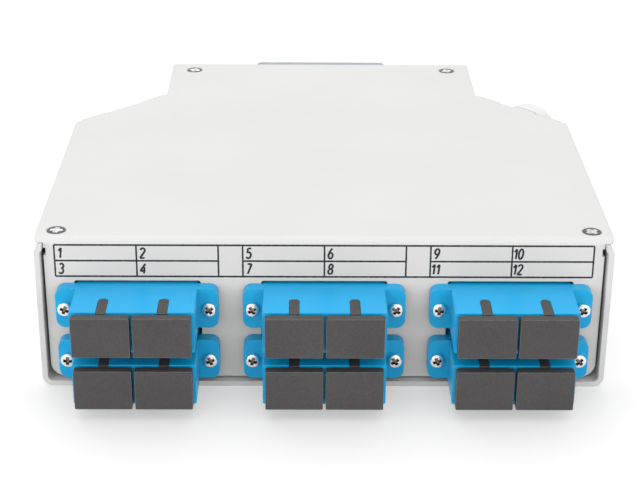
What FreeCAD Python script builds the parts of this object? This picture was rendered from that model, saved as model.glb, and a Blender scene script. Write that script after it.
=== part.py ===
import FreeCAD, Part
import math
import os
from FreeCAD import Vector

# Sheet steel box: X to the right, the front panel faces -Y, Z up, Z = 0 is the underside
TRAY_W = 123.0          # outside width over the side walls
BOX_H = 35.0            # overall height with the cover on
BOX_D = 116.0           # face of the front panel to the outside of the rear wall
SHEET = 1.2             # sheet thickness of tray and cover
BEND_IN = 1.2           # inside radius of the bends round the tray floor
CORNER_IN = 1.8         # hollow radius of the wall where a shoulder meets the neck
LIP = 1.4               # the tray runs this far in front of the panel
NECK_W = 81.0           # outside width of the narrow rear part
SHOULDER_Y = 72.0       # panel face to the start of the 45 degree shoulders
SHOULDER_DROP = 0.5     # raised shoulder walls end this far below the top of the cover
SHOULDER_STEP = 1.6     # raised part of a shoulder wall, from both ends of the wall
EDGE_GAP = 0.3          # cover edge to the shoulder wall beside it
SHOULDER_SLIT = 1.5     # radius of the relief at the open corner of side and shoulder
REAR_SLIT = 1.8         # radius of the relief at the open rear corners
COVER_CORNER = 1.0      # corner radius of the cover, seen from above

# Front panel, folded down from the cover
FOLD_IN = 0.4           # inside radius of the fold between cover and panel
PANEL_GAP = 0.6         # panel edge to the tray wall, each side
PANEL_LIFT = 0.5        # panel edge to the tray floor
PANEL_CORNER = 3.2      # radius of the lower panel corners
NOTCH_W = 0.5           # relief notch in the panel's side edge, depth
NOTCH_H = 1.75          # the same notch, height
CUTOUT_GAP = 0.55       # adapter body to the panel opening
CUTOUT_CORNER = 0.6     # corner radius of the panel openings

# Screw tabs under the cover and the countersunk cover screws
TAB_FOLD_IN = 0.8       # inside radius of the folds at the tabs
TAB_REACH = 9.5         # inward reach of a tab from the outside of its wall
TAB_DROP = 6.0          # wall below the fold that is made with the tab
TAB_CORNER = 2.0        # radius of the free tab corners
TAB_GAP = 0.15          # front tab to the side edge of the panel
FRONT_TAB_L = 14.0      # length of a front tab along its wall
REAR_TAB_L = 9.0        # length of a rear tab along its wall
SCREW_SIDE = 4.2        # front cover screws from the outside of the side wall
SCREW_FRONT_Y = 4.0     # front cover screws behind the panel face
SCREW_NECK = 6.0        # rear cover screws from the outside of the neck
SCREW_REAR_Y = 4.8      # rear cover screws in front of the rear edge
COVER_M = 2.5           # thread of the cover screws
COVER_HEAD = 4.1        # head diameter of the cover screws
COVER_SCREW_L = 6.0     # length of the cover screws
THREAD_GAP = 0.06       # radial gap drawn between a thread and its hole
HOLE_GAP = 0.15         # radial gap of a clearance hole
HEAD_GAP = 0.08         # countersunk head to its countersink
HEAD_LAND = 0.08        # straight rim of a countersunk head
RECESS_SHARE = 0.64     # cross recess over head diameter
RECESS_BAR = 0.24       # width of a recess bar over its length
RECESS_TAPER = 0.55     # floor of the recess over its mouth
RECESS_DEPTH = 0.7      # depth of the recess over the height of the head
HEAD_ROUND = 0.5        # edge radius of a pan head over its height

# Duplex adapters in three columns and two rows
COLUMN_COUNT = 3        # columns of adapters, evenly about the middle
COLUMN_GAP = 5.2        # flange to flange between two columns
ROW_GAP = 3.0           # flange to flange between the two rows
ROW_LIFT = 1.1          # lower flanges above the lower edge of the panel
PORT_PITCH = 12.7       # distance of the two ports of an adapter
PORT_W = 9.1            # port opening, width
PORT_H = 7.5            # port opening, height
PORT_WALL = 0.9         # wall over and under a port
BODY_WALL = 2.1         # wall beside the ports
BODY_EDGE = 0.4         # edge radius of the body
FLANGE_EAR = 4.4        # flange beyond the body, each side
FLANGE_R = 2.0          # flange corner radius
HALF_FLANGE = 1.4       # flange thickness of one housing half
HALF_L = 12.6           # length of one housing half from the seam
LEAD_IN = 0.4           # bevel round the mouth of a port
KEY_W = 2.2             # keyway in the top wall of a port, width
KEY_L = 6.6             # keyway length from the mouth
FLANGE_SCREW_EDGE = 2.0 # flange screws from the end of the flange
FLANGE_M = 2.0          # thread of the flange screws
FLANGE_HEAD = 3.1       # head diameter of the flange screws
FLANGE_HEAD_H = 1.2     # head height of the flange screws
FLANGE_NUT_AF = 4.0     # nut across flats
FLANGE_NUT_H = 1.6      # nut height
FLANGE_SCREW_END = 0.6  # screw end beyond its nut

# Latch holders and alignment sleeves inside an adapter
HOLDER_SIDE = 0.55      # holder base beyond the port, each side
HOLDER_OVER = 0.3       # holder base beyond the port, above and below
HOLDER_T = 1.2          # holder base plate, thickness
HOLDER_BEYOND = 1.1     # barrel and hooks beyond the end of the sleeve
BARREL_WALL = 0.62      # wall of the barrel round the sleeve
ARM_T = 0.8             # hook arm thickness
ARM_H = 3.2             # hook arm height
ARM_GAP = 0.2           # hook arm to the wall of the port
BARB = 0.55             # barb of a hook arm, height
BARB_L = 1.7            # barb of a hook arm, length
SLEEVE_R = 1.6          # outside radius of the split sleeve
SLEEVE_BORE = 1.25      # bore radius of the split sleeve
SLEEVE_L = 11.0         # length of the split sleeve
SLEEVE_SLIT = 0.4       # slit along the sleeve
SLEEVE_GAP = 0.08       # sleeve to barrel, radial
BARREL_MOUTH = 0.1      # mouth of the barrel wider than the bore of the sleeve

# Dust caps that plug the ports
CAP_SPACE = 0.6         # gap between the heads of two caps
CAP_INSET = 0.15        # cap head lower than the adapter, above and below
CAP_T = 2.5             # cap head, thickness
CAP_EDGE = 0.3          # corner radius of the cap head
CAP_BEVEL = 0.55        # bevel at the back of the cap head
CAP_STAND = 0.2         # cap head to the mouth of the adapter
CAP_FIT = 0.25          # plug to port wall
CAP_PLUG = 5.5          # plug length behind the head
CAP_WALL = 0.9          # plug wall
CAP_RIB = 0.8           # rib between the two cells of the plug
CAP_CELL = 0.6          # floor of the cells behind the head
CAP_KEY_FIT = 0.12      # cap key to the keyway
CAP_KEY_DROP = 0.1      # cap key below the top of the adapter

# Clip for a 35 mm mounting rail that runs along Z
RAIL_W = 35.0           # rail width over the flanges
RAIL_T = 1.0            # rail flange thickness
RAIL_SIDE = 0.2         # rail edge to the hook, each side
RAIL_PLAY = 0.3         # rail flange to the hook lip
CLIP_OVER = 0.5         # clip plate beyond the rail, each side
CLIP_T = 3.2            # thickness of the clip plate
CLIP_EDGE = 0.4         # plate edge below the cover top and above the underside
CLIP_CORNER = 1.5       # corner radius of the plate
HOOK_T = 1.5            # hook thickness
HOOK_H = 14.0           # height of the fixed hook along the rail
HOOK_ROOT = 2.0         # fixed hook into the plate
HOOK_LIP = 2.4          # lip over the rail flange
HOOK_LEAD = 0.6         # blunt edge of the lip below its lead-in
SLIDE_GAP = 0.2         # latch to its guide in the plate
LATCH_FOOT = 1.2        # side rib of the latch under the plate rebate
LATCH_END = 3.0         # latch beyond the spring window
LATCH_TAIL = 8.0        # pull end of the latch beyond its hook
LATCH_CORNER = 2.0      # corner radius of the pull end
LATCH_TRAVEL = 3.5      # travel of the latch
LATCH_STOP = 1.5        # wall of the plate that stops the ribs
PULL_W = 2.0            # tool slot in the pull end, across
PULL_H = 6.0            # tool slot in the pull end, along the rail
PULL_SHARE = 0.55       # place of the slot along the tail
BRIDGE_W = 3.0          # bridge over the latch, width
BRIDGE_T = 1.4          # bridge over the latch, thickness
BRIDGE_SEAT = 2.5       # bridge beyond the latch, each side
STOP_T = 1.4            # spring stop under the bridge, thickness
CLIP_M = 3.0            # thread of the clip screws
CLIP_HEAD = 5.4         # head diameter of the clip screws
CLIP_SUNK = 0.1         # clip screw heads below the rail seat
CLIP_WEB = 1.14         # plate between a countersink and the latch rebate
CLIP_NUT_AF = 5.5       # nut across flats
CLIP_NUT_H = 2.4        # nut height
CLIP_NUT_GAP = 0.1      # nut to the bend of the tray floor
CLIP_SCREW_END = 1.0    # screw end beyond its nut
SPRING_R = 1.2          # coil radius to the wire middle
SPRING_WIRE = 0.25      # wire radius
SPRING_L = 12.0         # spring length at rest
SPRING_TURNS = 8        # number of turns
SPRING_SEAT = 0.15      # spring to its seat, each end
SPRING_SIDE = 0.3       # spring to the side of its window
WINDOW_SHIFT = 2.0      # middle of the spring left of the middle of the plate

# Cable gland in the slot of the right shoulder; the left slot stays open
GLAND_R = 6.0           # radius of the entry thread
GLAND_SHOULDER = 1.2    # hexagon flats beyond the entry thread
GLAND_HEX_T = 2.4       # hexagon collar thickness
GLAND_BEVEL = 0.6       # bevel of the collar's corners
GLAND_IN = 6.5          # thread length inside the wall
GLAND_OUT = 3.4         # thread for the dome nut
GLAND_STEP = 0.7        # that thread is smaller than the entry thread
GLAND_NUT_T = 3.4       # locknut thickness
GLAND_BORE = 3.6        # bore of the gland body
LOCKNUT_GAP = 0.2       # locknut below the cover
CABLE_R = 3.0           # bore of the seal for the cable
CABLE_GAP = 0.4         # mouth of the dome nut wider than the seal bore
SEAL_LIP = 1.0          # wall of the thread round the seal
SEAL_SEAT = 0.6         # seal seat above the collar
DOME_L = 5.2            # dome nut length
DOME_WALL = 1.2         # end wall of the dome nut
DOME_ROUND = 2.2        # rounded end of the dome nut
DOME_CORNER = 0.6       # hexagon flats to the turned outside of the dome nut
DOME_GAP = 0.3          # dome nut to the collar
SLOT_GAP = 0.25         # entry thread to the slot

# Splice cassette on two standoffs behind the adapters
CASSETTE_SIDE = 2.3     # cassette to the inside of the neck walls
CASSETTE_BACK = 6.8     # cassette to the inside of the rear wall
CASSETTE_L = 46.0       # front to back
CASSETTE_R = 9.0        # corner radius
CASSETTE_RIM = 7.5      # rim height over the cassette floor
CASSETTE_T = 1.4        # wall and floor thickness
LID_T = 1.2             # lid thickness
LID_GAP = 0.3           # locating rim of the lid to the cassette wall
LID_RIM = 1.0           # locating rim of the lid, thickness
LID_DEPTH = 0.9         # locating rim of the lid, height
STANDOFF_H = 4.0        # standoff height over the tray floor
STANDOFF_R = 2.8        # standoff radius
STANDOFF_STEP = 0.6     # spigot in the tray floor smaller than the standoff
STANDOFF_SUNK = 0.1     # spigot above the underside
GUIDE_ROOM = 2.1        # loop guide to the side wall of the cassette
GUIDE_R = 8.0           # outside radius of a loop guide
GUIDE_T = 1.2           # wall of a loop guide
GUIDE_DROP = 1.5        # loop guide below the rim
GATE_W = 6.0            # fibre entry in the front rim
PEG_R = 1.5             # peg of a comb
PEG_H = 0.9             # peg height
CASSETTE_M = 3.0        # thread of the cassette screws
CASSETTE_HEAD = 5.7     # head diameter of the cassette screws
CASSETTE_HEAD_H = 2.1   # head height of the cassette screws
CASSETTE_SCREW_L = 4.4  # length of the cassette screws
COMB_SLOTS = 6          # splice places in a comb
COMB_PITCH = 3.2        # distance of the splice places
COMB_END = 0.8          # comb beyond its outer places
COMB_W = 9.0            # comb width along the splices
COMB_H = 4.6            # comb height
GROOVE_R = 1.3          # radius of a splice place
GROOVE_Z = 2.2          # its axis above the cassette floor
GROOVE_MOUTH = 1.9      # snap-in opening of a splice place

# Places that follow from the sizes above
FRONT = -(BOX_D + LIP) / 2
PANEL_Y = FRONT + LIP
REAR = PANEL_Y + BOX_D
WALL_TOP = BOX_H - SHEET
MID_Z = BOX_H / 2
BEND_OUT = BEND_IN + SHEET
FOLD_OUT = FOLD_IN + SHEET
PANEL_W = TRAY_W - 2 * SHEET - 2 * PANEL_GAP
PANEL_BOTTOM = SHEET + PANEL_LIFT
SHOULDER_AT = PANEL_Y + SHOULDER_Y
NECK_AT = SHOULDER_AT + (TRAY_W - NECK_W) / 2
SCREW_FRONT_X = TRAY_W / 2 - SCREW_SIDE
SCREW_REAR_X = NECK_W / 2 - SCREW_NECK
SEAM_Y = PANEL_Y - HALF_FLANGE
BODY_W = PORT_PITCH + PORT_W + 2 * BODY_WALL
FLANGE_W = BODY_W + 2 * FLANGE_EAR
FLANGE_SCREW_X = FLANGE_W / 2 - FLANGE_SCREW_EDGE
ADAPTER_H = PORT_H + 2 * PORT_WALL
COLUMNS = [(i - (COLUMN_COUNT - 1) / 2) * (FLANGE_W + COLUMN_GAP) for i in range(COLUMN_COUNT)]
LOW_ROW = PANEL_BOTTOM + ROW_LIFT + ADAPTER_H / 2
ROWS = (LOW_ROW + ADAPTER_H + ROW_GAP, LOW_ROW)
HOLDER_W = PORT_W + 2 * HOLDER_SIDE
HOLDER_H = PORT_H + 2 * HOLDER_OVER
HOLDER_TIP = SLEEVE_L / 2 + HOLDER_BEYOND
BARREL_R = SLEEVE_R + SLEEVE_GAP + BARREL_WALL
ARM_X = PORT_W / 2 - ARM_GAP - ARM_T / 2
CAP_W = PORT_PITCH - CAP_SPACE
CAP_H = ADAPTER_H - 2 * CAP_INSET
RAIL_SEAT = REAR + CLIP_T
CLIP_W = RAIL_W + 2 * CLIP_OVER
CLIP_SCREW_Z = MID_Z - BEND_OUT - CLIP_NUT_GAP - CLIP_NUT_AF / 2
CLIP_SINK_R = CLIP_HEAD / 2 + HEAD_LAND + CLIP_SUNK + HEAD_GAP
LATCH_HALF = CLIP_SCREW_Z - CLIP_SINK_R - CLIP_WEB - SLIDE_GAP - LATCH_FOOT
LATCH_HOOK_X = RAIL_W / 2 + RAIL_SIDE
WINDOW_START = -SPRING_L / 2 - WINDOW_SHIFT
WINDOW_HALF = SPRING_R + SPRING_WIRE + SPRING_SIDE
STOP_X = WINDOW_START + SPRING_L + 2 * SPRING_SEAT
RIB_END = CLIP_W / 2 - LATCH_STOP - LATCH_TRAVEL
GLAND_AF = 2 * (GLAND_R + GLAND_SHOULDER)
GLAND_OUT_R = GLAND_R - GLAND_STEP
GLAND_Z = WALL_TOP - LOCKNUT_GAP - GLAND_AF / 2
CASSETTE_W = NECK_W - 2 * SHEET - 2 * CASSETTE_SIDE
CASSETTE_AT = REAR - SHEET - CASSETTE_BACK - CASSETTE_L
CASSETTE_MID = CASSETTE_AT + CASSETTE_L / 2
CASSETTE_Z = SHEET + STANDOFF_H
CASSETTE_FLOOR = CASSETTE_Z + CASSETTE_T
CASSETTE_TOP = CASSETTE_FLOOR + CASSETTE_RIM
GUIDE_X = CASSETTE_W / 2 - CASSETTE_T - GUIDE_ROOM - GUIDE_R
COMB_X = GUIDE_X - GUIDE_R - COMB_W / 2
TOOL = 200.0            # size of a plain cutting block


def box(x0, x1, y0, y1, z0, z1):
    return Part.makeBox(x1 - x0, y1 - y0, z1 - z0, Vector(x0, y0, z0))


def rod(radius, length, at, along):
    return Part.makeCylinder(radius, length, Vector(*at), Vector(*along))


def prism(points, z0, z1):
    corners = [Vector(x, y, z0) for x, y in points]
    face = Part.Face(Part.makePolygon(corners + corners[:1]))
    return face.extrude(Vector(0, 0, z1 - z0))


def hexagon(flats, height):
    radius = flats / math.sqrt(3)
    angles = [math.radians(60 * i) for i in range(6)]
    return prism([(radius * math.cos(a), radius * math.sin(a)) for a in angles], 0, height)


def nut(thread, flats, height):
    return hexagon(flats, height).cut(rod(thread / 2, TOOL, (0, 0, -1), (0, 0, 1)))


def round_edges(shape, radius, wanted):
    return shape.makeFillet(radius, [e for e in shape.Edges if wanted(e)])


def along(edge, axis):
    ends = [v.Point for v in edge.Vertexes]
    if len(ends) != 2:
        return False
    way = ends[1] - ends[0]
    return abs(way.Length - abs(way.dot(axis))) < 1e-6


def upright(edge):
    return along(edge, Vector(0, 0, 1))


def at_height(edge, z):
    return all(abs(v.Z - z) < 1e-6 for v in edge.Vertexes)


def inset(points, gap):
    # Each corner moves so that both of its sides come in by the gap
    result = []
    for i, (x, y) in enumerate(points):
        before = points[i - 1]
        after = points[(i + 1) % len(points)]
        sides = []
        for (ax, ay), (bx, by) in ((before, (x, y)), ((x, y), after)):
            length = math.hypot(bx - ax, by - ay)
            sides.append((-(by - ay) / length, (bx - ax) / length))
        (ax, ay), (bx, by) = sides
        share = gap / (1 + ax * bx + ay * by)
        result.append((x + share * (ax + bx), y + share * (ay + by)))
    return result


def moved(shape, x=0.0, y=0.0, z=0.0, turn=0.0):
    copy = shape.copy()
    copy.rotate(Vector(0, 0, 0), Vector(0, 0, 1), turn)
    copy.translate(Vector(x, y, z))
    return copy


def on_y(shape):
    # Turns a shape drawn along +Z so that it runs along -Y, its own Y up
    copy = shape.copy()
    copy.rotate(Vector(0, 0, 0), Vector(1, 0, 0), 90)
    return copy


def save(name, *solids):
    shape = solids[0] if len(solids) == 1 else Part.makeCompound(list(solids))
    shape.exportStep("parts/" + name + ".step")
    print(name, len(shape.Solids), "solids", round(shape.Volume, 1), "mm3", shape.isValid())


# Screws

def cross_recess(head, depth):
    # Tapered cross that is cut down into a screw head from z = 0
    size = head * RECESS_SHARE
    long, wide = size / 2, size * RECESS_BAR / 2
    bars = []
    for turn in (0, 90):
        points = ((-long, -wide), (long, -wide), (long, wide), (-long, wide), (-long, -wide))
        top = Part.makePolygon([Vector(x, y, 0.01) for x, y in points])
        low = top.copy()
        low.scale(RECESS_TAPER)
        low.translate(Vector(0, 0, -depth))
        bar = Part.makeLoft([low, top], True)
        bar.rotate(Vector(0, 0, 0), Vector(0, 0, 1), turn)
        bars.append(bar)
    return bars[0].fuse(bars[1])


def head_room(thread, head, sunk):
    # Cone round a countersunk head that lies sunk below the face at z = 0
    mouth = head / 2 + HEAD_LAND + sunk + HEAD_GAP
    depth = mouth - thread / 2
    return Part.makeCone(thread / 2, mouth + 1, depth + 1, Vector(0, 0, -depth))


def countersink(thread, head, sunk):
    hole = rod(thread / 2 + HOLE_GAP, TOOL / 10, (0, 0, -TOOL / 10), (0, 0, 1))
    return head_room(thread, head, sunk).fuse(hole)


def countersunk(thread, head, length):
    # Head face at z = 0, shank down
    radius = head / 2
    cone_h = radius - thread / 2
    shape = Part.makeCone(thread / 2, radius, cone_h, Vector(0, 0, -cone_h - HEAD_LAND))
    shape = shape.fuse(rod(radius, HEAD_LAND, (0, 0, -HEAD_LAND), (0, 0, 1)))
    shape = shape.fuse(rod(thread / 2, length, (0, 0, -length), (0, 0, 1)))
    return shape.cut(cross_recess(head, cone_h * RECESS_DEPTH)).removeSplitter()


def pan_head(thread, head, head_h, length):
    # Underside of the head at z = 0, shank down
    cap = rod(head / 2, head_h, (0, 0, 0), (0, 0, 1))
    cap = round_edges(cap, head_h * HEAD_ROUND, lambda e: len(e.Vertexes) == 1 and at_height(e, head_h))
    shape = cap.fuse(rod(thread / 2, length, (0, 0, -length), (0, 0, 1)))
    recess = moved(cross_recess(head, head_h * RECESS_DEPTH), 0, 0, head_h)
    return shape.cut(recess).removeSplitter()


# Tray and cover

def cover_screw_places():
    front = PANEL_Y + SCREW_FRONT_Y
    rear = REAR - SCREW_REAR_Y
    return [(-SCREW_FRONT_X, front), (SCREW_FRONT_X, front), (-SCREW_REAR_X, rear), (SCREW_REAR_X, rear)]


def clip_screw_places():
    return [MID_Z - CLIP_SCREW_Z, MID_Z + CLIP_SCREW_Z]


def standoff_places():
    return [(-GUIDE_X, CASSETTE_MID), (GUIDE_X, CASSETTE_MID)]


def shoulder_frame(side):
    # Middle of a shoulder's outer face and the turn of its outward normal
    x = side * (TRAY_W + NECK_W) / 4
    y = (SHOULDER_AT + NECK_AT) / 2
    return x, y, 45 if side > 0 else 135


def mirrored(right):
    return right + [(-x, y) for x, y in reversed(right)]


def screw_tab(length):
    # Wall at x = 0 folded inwards to -x, its top at z = 0, middle at y = 0, and the wall that it replaces
    half = length / 2
    on_fold = lambda e: along(e, Vector(0, 1, 0)) and e.Vertexes[0].X > -TAB_REACH / 2
    bent = box(-TAB_REACH, 0, -half, half, -TAB_DROP, 0)
    bent = round_edges(bent, TAB_FOLD_IN + SHEET, lambda e: on_fold(e) and at_height(e, 0))
    bent = round_edges(bent, TAB_CORNER, lambda e: upright(e) and e.Vertexes[0].X < -TAB_REACH / 2)
    room = box(-TOOL, -SHEET, -TOOL, TOOL, -TOOL, -SHEET)
    room = round_edges(room, TAB_FOLD_IN, lambda e: on_fold(e) and at_height(e, -SHEET))
    return bent.cut(room), box(-2 * SHEET, SHEET, -half, half, -TAB_DROP, SHEET)


def tray_walls():
    # Bent sheet: floor, sides, shoulders, neck and rear wall, open at the front
    ahead = FRONT - 20
    half, neck = TRAY_W / 2, NECK_W / 2
    plan = mirrored([(half, ahead), (half, SHOULDER_AT), (neck, NECK_AT), (neck, REAR)])
    hollow = lambda e: upright(e) and abs(e.Vertexes[0].Y - NECK_AT) < 2 * SHEET
    not_ahead = lambda e: max(v.Y for v in e.Vertexes) > ahead + 2 * SHEET
    outer = round_edges(prism(plan, 0, WALL_TOP), CORNER_IN, hollow)
    outer = round_edges(outer, BEND_OUT, lambda e: at_height(e, 0) and not_ahead(e))
    inner = round_edges(prism(inset(plan, SHEET), SHEET, WALL_TOP + 1), CORNER_IN + SHEET, hollow)
    inner = round_edges(inner, BEND_IN, lambda e: at_height(e, SHEET) and not_ahead(e))
    return outer.cut(inner).cut(box(-TOOL, TOOL, -TOOL, FRONT, -1, TOOL))


def shoulder_wall():
    # Raised edge of a shoulder wall and the cable slot, about the middle of the wall's outer face
    run = (TRAY_W - NECK_W) / math.sqrt(8) - SHOULDER_STEP
    raised = box(-SHEET, 0, -run, run, BEND_OUT, BOX_H - SHOULDER_DROP)
    slot_r = GLAND_R + SLOT_GAP
    reach = 4 * SHEET
    slot = rod(slot_r, 2 * reach, (-reach, 0, GLAND_Z), (1, 0, 0))
    return raised, slot.fuse(box(-reach, reach, -slot_r, slot_r, GLAND_Z, BOX_H + 1))


def make_tray():
    tray = tray_walls()
    raised, slot = shoulder_wall()
    front_tab = screw_tab(FRONT_TAB_L)
    rear_tab = screw_tab(REAR_TAB_L)
    for side in (-1, 1):
        place = shoulder_frame(side)
        tray = tray.fuse(moved(raised, place[0], place[1], 0, place[2]))
        tray = tray.cut(moved(slot, place[0], place[1], 0, place[2]))
        # Open corners between the folded walls
        tray = tray.cut(rod(SHOULDER_SLIT, TOOL, (side * TRAY_W / 2, SHOULDER_AT, -1), (0, 0, 1)))
        tray = tray.cut(rod(REAR_SLIT, TOOL, (side * NECK_W / 2, REAR, -1), (0, 0, 1)))
        # Tabs that the cover is screwed to
        front_place = (side * TRAY_W / 2, FRONT + FRONT_TAB_L / 2, WALL_TOP, 90 - side * 90)
        rear_place = (side * SCREW_REAR_X, REAR, WALL_TOP, 90)
        for (tab, room), at in ((front_tab, front_place), (rear_tab, rear_place)):
            tray = tray.cut(moved(room, *at)).fuse(moved(tab, *at))
    # Room for the panel between the front tabs
    beside = PANEL_W / 2 + TAB_GAP
    tray = tray.cut(box(-beside, beside, -TOOL, PANEL_Y + SHEET + PANEL_GAP, MID_Z, TOOL))
    for x, y in cover_screw_places():
        tray = tray.cut(rod(COVER_M / 2 + THREAD_GAP, TAB_DROP, (x, y, WALL_TOP - TAB_DROP / 2), (0, 0, 1)))
        tray = tray.cut(moved(head_room(COVER_M, COVER_HEAD, 0), x, y, BOX_H))
    for z in clip_screw_places():
        tray = tray.cut(rod(CLIP_M / 2 + HOLE_GAP, 4 * SHEET, (0, REAR - 2 * SHEET, z), (0, 1, 0)))
    for x, y in standoff_places():
        tray = tray.cut(rod(STANDOFF_R - STANDOFF_STEP + THREAD_GAP, 4 * SHEET, (x, y, -SHEET), (0, 0, 1)))
    return tray.removeSplitter()


def folded_sheet():
    # Top sheet with the panel bent down from it; it stands back from the shoulder walls and covers the others
    step = (SHEET + EDGE_GAP) * math.sqrt(2)
    half, neck = TRAY_W / 2, NECK_W / 2
    inner_y = NECK_AT - step
    plan = mirrored([(half, PANEL_Y), (half, SHOULDER_AT - step), (neck, inner_y), (neck, REAR)])
    top = prism(plan, WALL_TOP, BOX_H)
    top = round_edges(top, COVER_CORNER, lambda e: upright(e) and abs(e.Vertexes[0].Y - inner_y) > 1e-6)
    panel = box(-PANEL_W / 2, PANEL_W / 2, PANEL_Y, PANEL_Y + SHEET, PANEL_BOTTOM, BOX_H)
    panel = round_edges(panel, PANEL_CORNER,
                        lambda e: along(e, Vector(0, 1, 0)) and at_height(e, PANEL_BOTTOM))
    inside_y, inside_z = PANEL_Y + FOLD_OUT, BOX_H - FOLD_OUT
    fold = box(-PANEL_W / 2, PANEL_W / 2, PANEL_Y + SHEET, inside_y, inside_z, WALL_TOP)
    fold = fold.cut(rod(FOLD_IN, TOOL, (-TOOL / 2, inside_y, inside_z), (1, 0, 0)))
    corner = box(-TOOL, TOOL, PANEL_Y - 1, inside_y, inside_z, BOX_H + 1)
    corner = corner.cut(rod(FOLD_OUT, 2 * TOOL, (-TOOL, inside_y, inside_z), (1, 0, 0)))
    return top.fuse(panel).fuse(fold).removeSplitter().cut(corner)


def make_cover():
    cover = folded_sheet()
    top_of_cut = ROWS[0] + ADAPTER_H / 2 + CUTOUT_GAP
    reach = BODY_W / 2 + CUTOUT_GAP
    front, back = PANEL_Y - SHEET, PANEL_Y + 2 * SHEET
    for x in COLUMNS:
        opening = box(x - reach, x + reach, front, back, -1, top_of_cut)
        opening = round_edges(opening, CUTOUT_CORNER,
                              lambda e: along(e, Vector(0, 1, 0)) and at_height(e, top_of_cut))
        cover = cover.cut(opening)
        for z in ROWS:
            for side in (-1, 1):
                place = (x + side * FLANGE_SCREW_X, front, z)
                cover = cover.cut(rod(FLANGE_M / 2 + HOLE_GAP, back - front, place, (0, 1, 0)))
    notch_top = WALL_TOP - SHEET
    notch = box(-NOTCH_W, NOTCH_W, front, back, notch_top - NOTCH_H, notch_top)
    for side in (-1, 1):
        cover = cover.cut(moved(notch, side * PANEL_W / 2))
    for x, y in cover_screw_places():
        cover = cover.cut(moved(countersink(COVER_M, COVER_HEAD, 0), x, y, BOX_H))
    return cover.removeSplitter()


def save_box():
    save("tray", make_tray())
    save("cover", make_cover())
    screw = countersunk(COVER_M, COVER_HEAD, COVER_SCREW_L)
    save("cover_screws", *[moved(screw, x, y, BOX_H) for x, y in cover_screw_places()])


# Adapters and dust caps

def upright_frame(half_x, half_z, y):
    corners = [(-half_x, -half_z), (half_x, -half_z), (half_x, half_z), (-half_x, half_z), (-half_x, -half_z)]
    return Part.makePolygon([Vector(x, y, z) for x, z in corners])


def make_half():
    # Front half of an adapter about its own axis: seam at y = 0, mouth at y = -HALF_L
    lengthwise = lambda e: along(e, Vector(0, 1, 0))
    body = box(-BODY_W / 2, BODY_W / 2, -HALF_L, 0, -ADAPTER_H / 2, ADAPTER_H / 2)
    body = round_edges(body, BODY_EDGE, lengthwise)
    flange = box(-FLANGE_W / 2, FLANGE_W / 2, -HALF_FLANGE, 0, -ADAPTER_H / 2, ADAPTER_H / 2)
    half = body.fuse(round_edges(flange, FLANGE_R, lengthwise)).removeSplitter()
    wide, tall = PORT_W / 2, PORT_H / 2
    key_end = -HALF_L + KEY_L - KEY_W / 2
    lead = Part.makeLoft([upright_frame(wide + 2 * LEAD_IN, tall + 2 * LEAD_IN, -HALF_L - LEAD_IN),
                          upright_frame(wide, tall, -HALF_L + LEAD_IN)], True)
    for side in (-1, 1):
        x = side * PORT_PITCH / 2
        half = half.cut(box(x - wide, x + wide, -TOOL, TOOL, -tall, tall))
        half = half.cut(box(x - HOLDER_W / 2, x + HOLDER_W / 2, -HOLDER_T, 1, -HOLDER_H / 2, HOLDER_H / 2))
        half = half.cut(box(x - KEY_W / 2, x + KEY_W / 2, -TOOL, key_end, 0, TOOL))
        half = half.cut(rod(KEY_W / 2, TOOL, (x, key_end, 0), (0, 0, 1)))
        half = half.cut(moved(lead, x))
        hole = rod(FLANGE_M / 2 + HOLE_GAP, TOOL, (side * FLANGE_SCREW_X, -TOOL / 2, 0), (0, 1, 0))
        half = half.cut(hole)
    return half.removeSplitter()


def make_holder():
    # Latch holder of one port: base at the seam, barrel and two hooks towards the mouth
    holder = box(-HOLDER_W / 2, HOLDER_W / 2, -HOLDER_T, 0, -HOLDER_H / 2, HOLDER_H / 2)
    holder = holder.fuse(rod(BARREL_R, HOLDER_TIP, (0, -HOLDER_TIP, 0), (0, 1, 0)))
    for side in (-1, 1):
        outer, inner = side * (ARM_X + ARM_T / 2), side * (ARM_X - ARM_T / 2)
        barb = inner - side * BARB
        tip = -HOLDER_TIP
        arm = [(outer, -HOLDER_T), (outer, tip), (inner, tip), (barb, tip + BARB_L - 2 * BARB),
               (barb, tip + BARB_L - BARB), (inner, tip + BARB_L), (inner, -HOLDER_T)]
        holder = holder.fuse(prism(arm, -ARM_H / 2, ARM_H / 2))
    seat_l = SLEEVE_L / 2 + SLEEVE_GAP
    holder = holder.cut(rod(SLEEVE_R + SLEEVE_GAP, seat_l, (0, -seat_l, 0), (0, 1, 0)))
    holder = holder.cut(rod(SLEEVE_BORE + BARREL_MOUTH, TOOL, (0, -TOOL / 2, 0), (0, 1, 0)))
    return holder.removeSplitter()


def make_sleeve():
    sleeve = rod(SLEEVE_R, SLEEVE_L, (0, -SLEEVE_L / 2, 0), (0, 1, 0))
    sleeve = sleeve.cut(rod(SLEEVE_BORE, SLEEVE_L, (0, -SLEEVE_L / 2, 0), (0, 1, 0)))
    return sleeve.cut(box(-SLEEVE_SLIT / 2, SLEEVE_SLIT / 2, -SLEEVE_L, SLEEVE_L, 0, 2 * SLEEVE_R))


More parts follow.
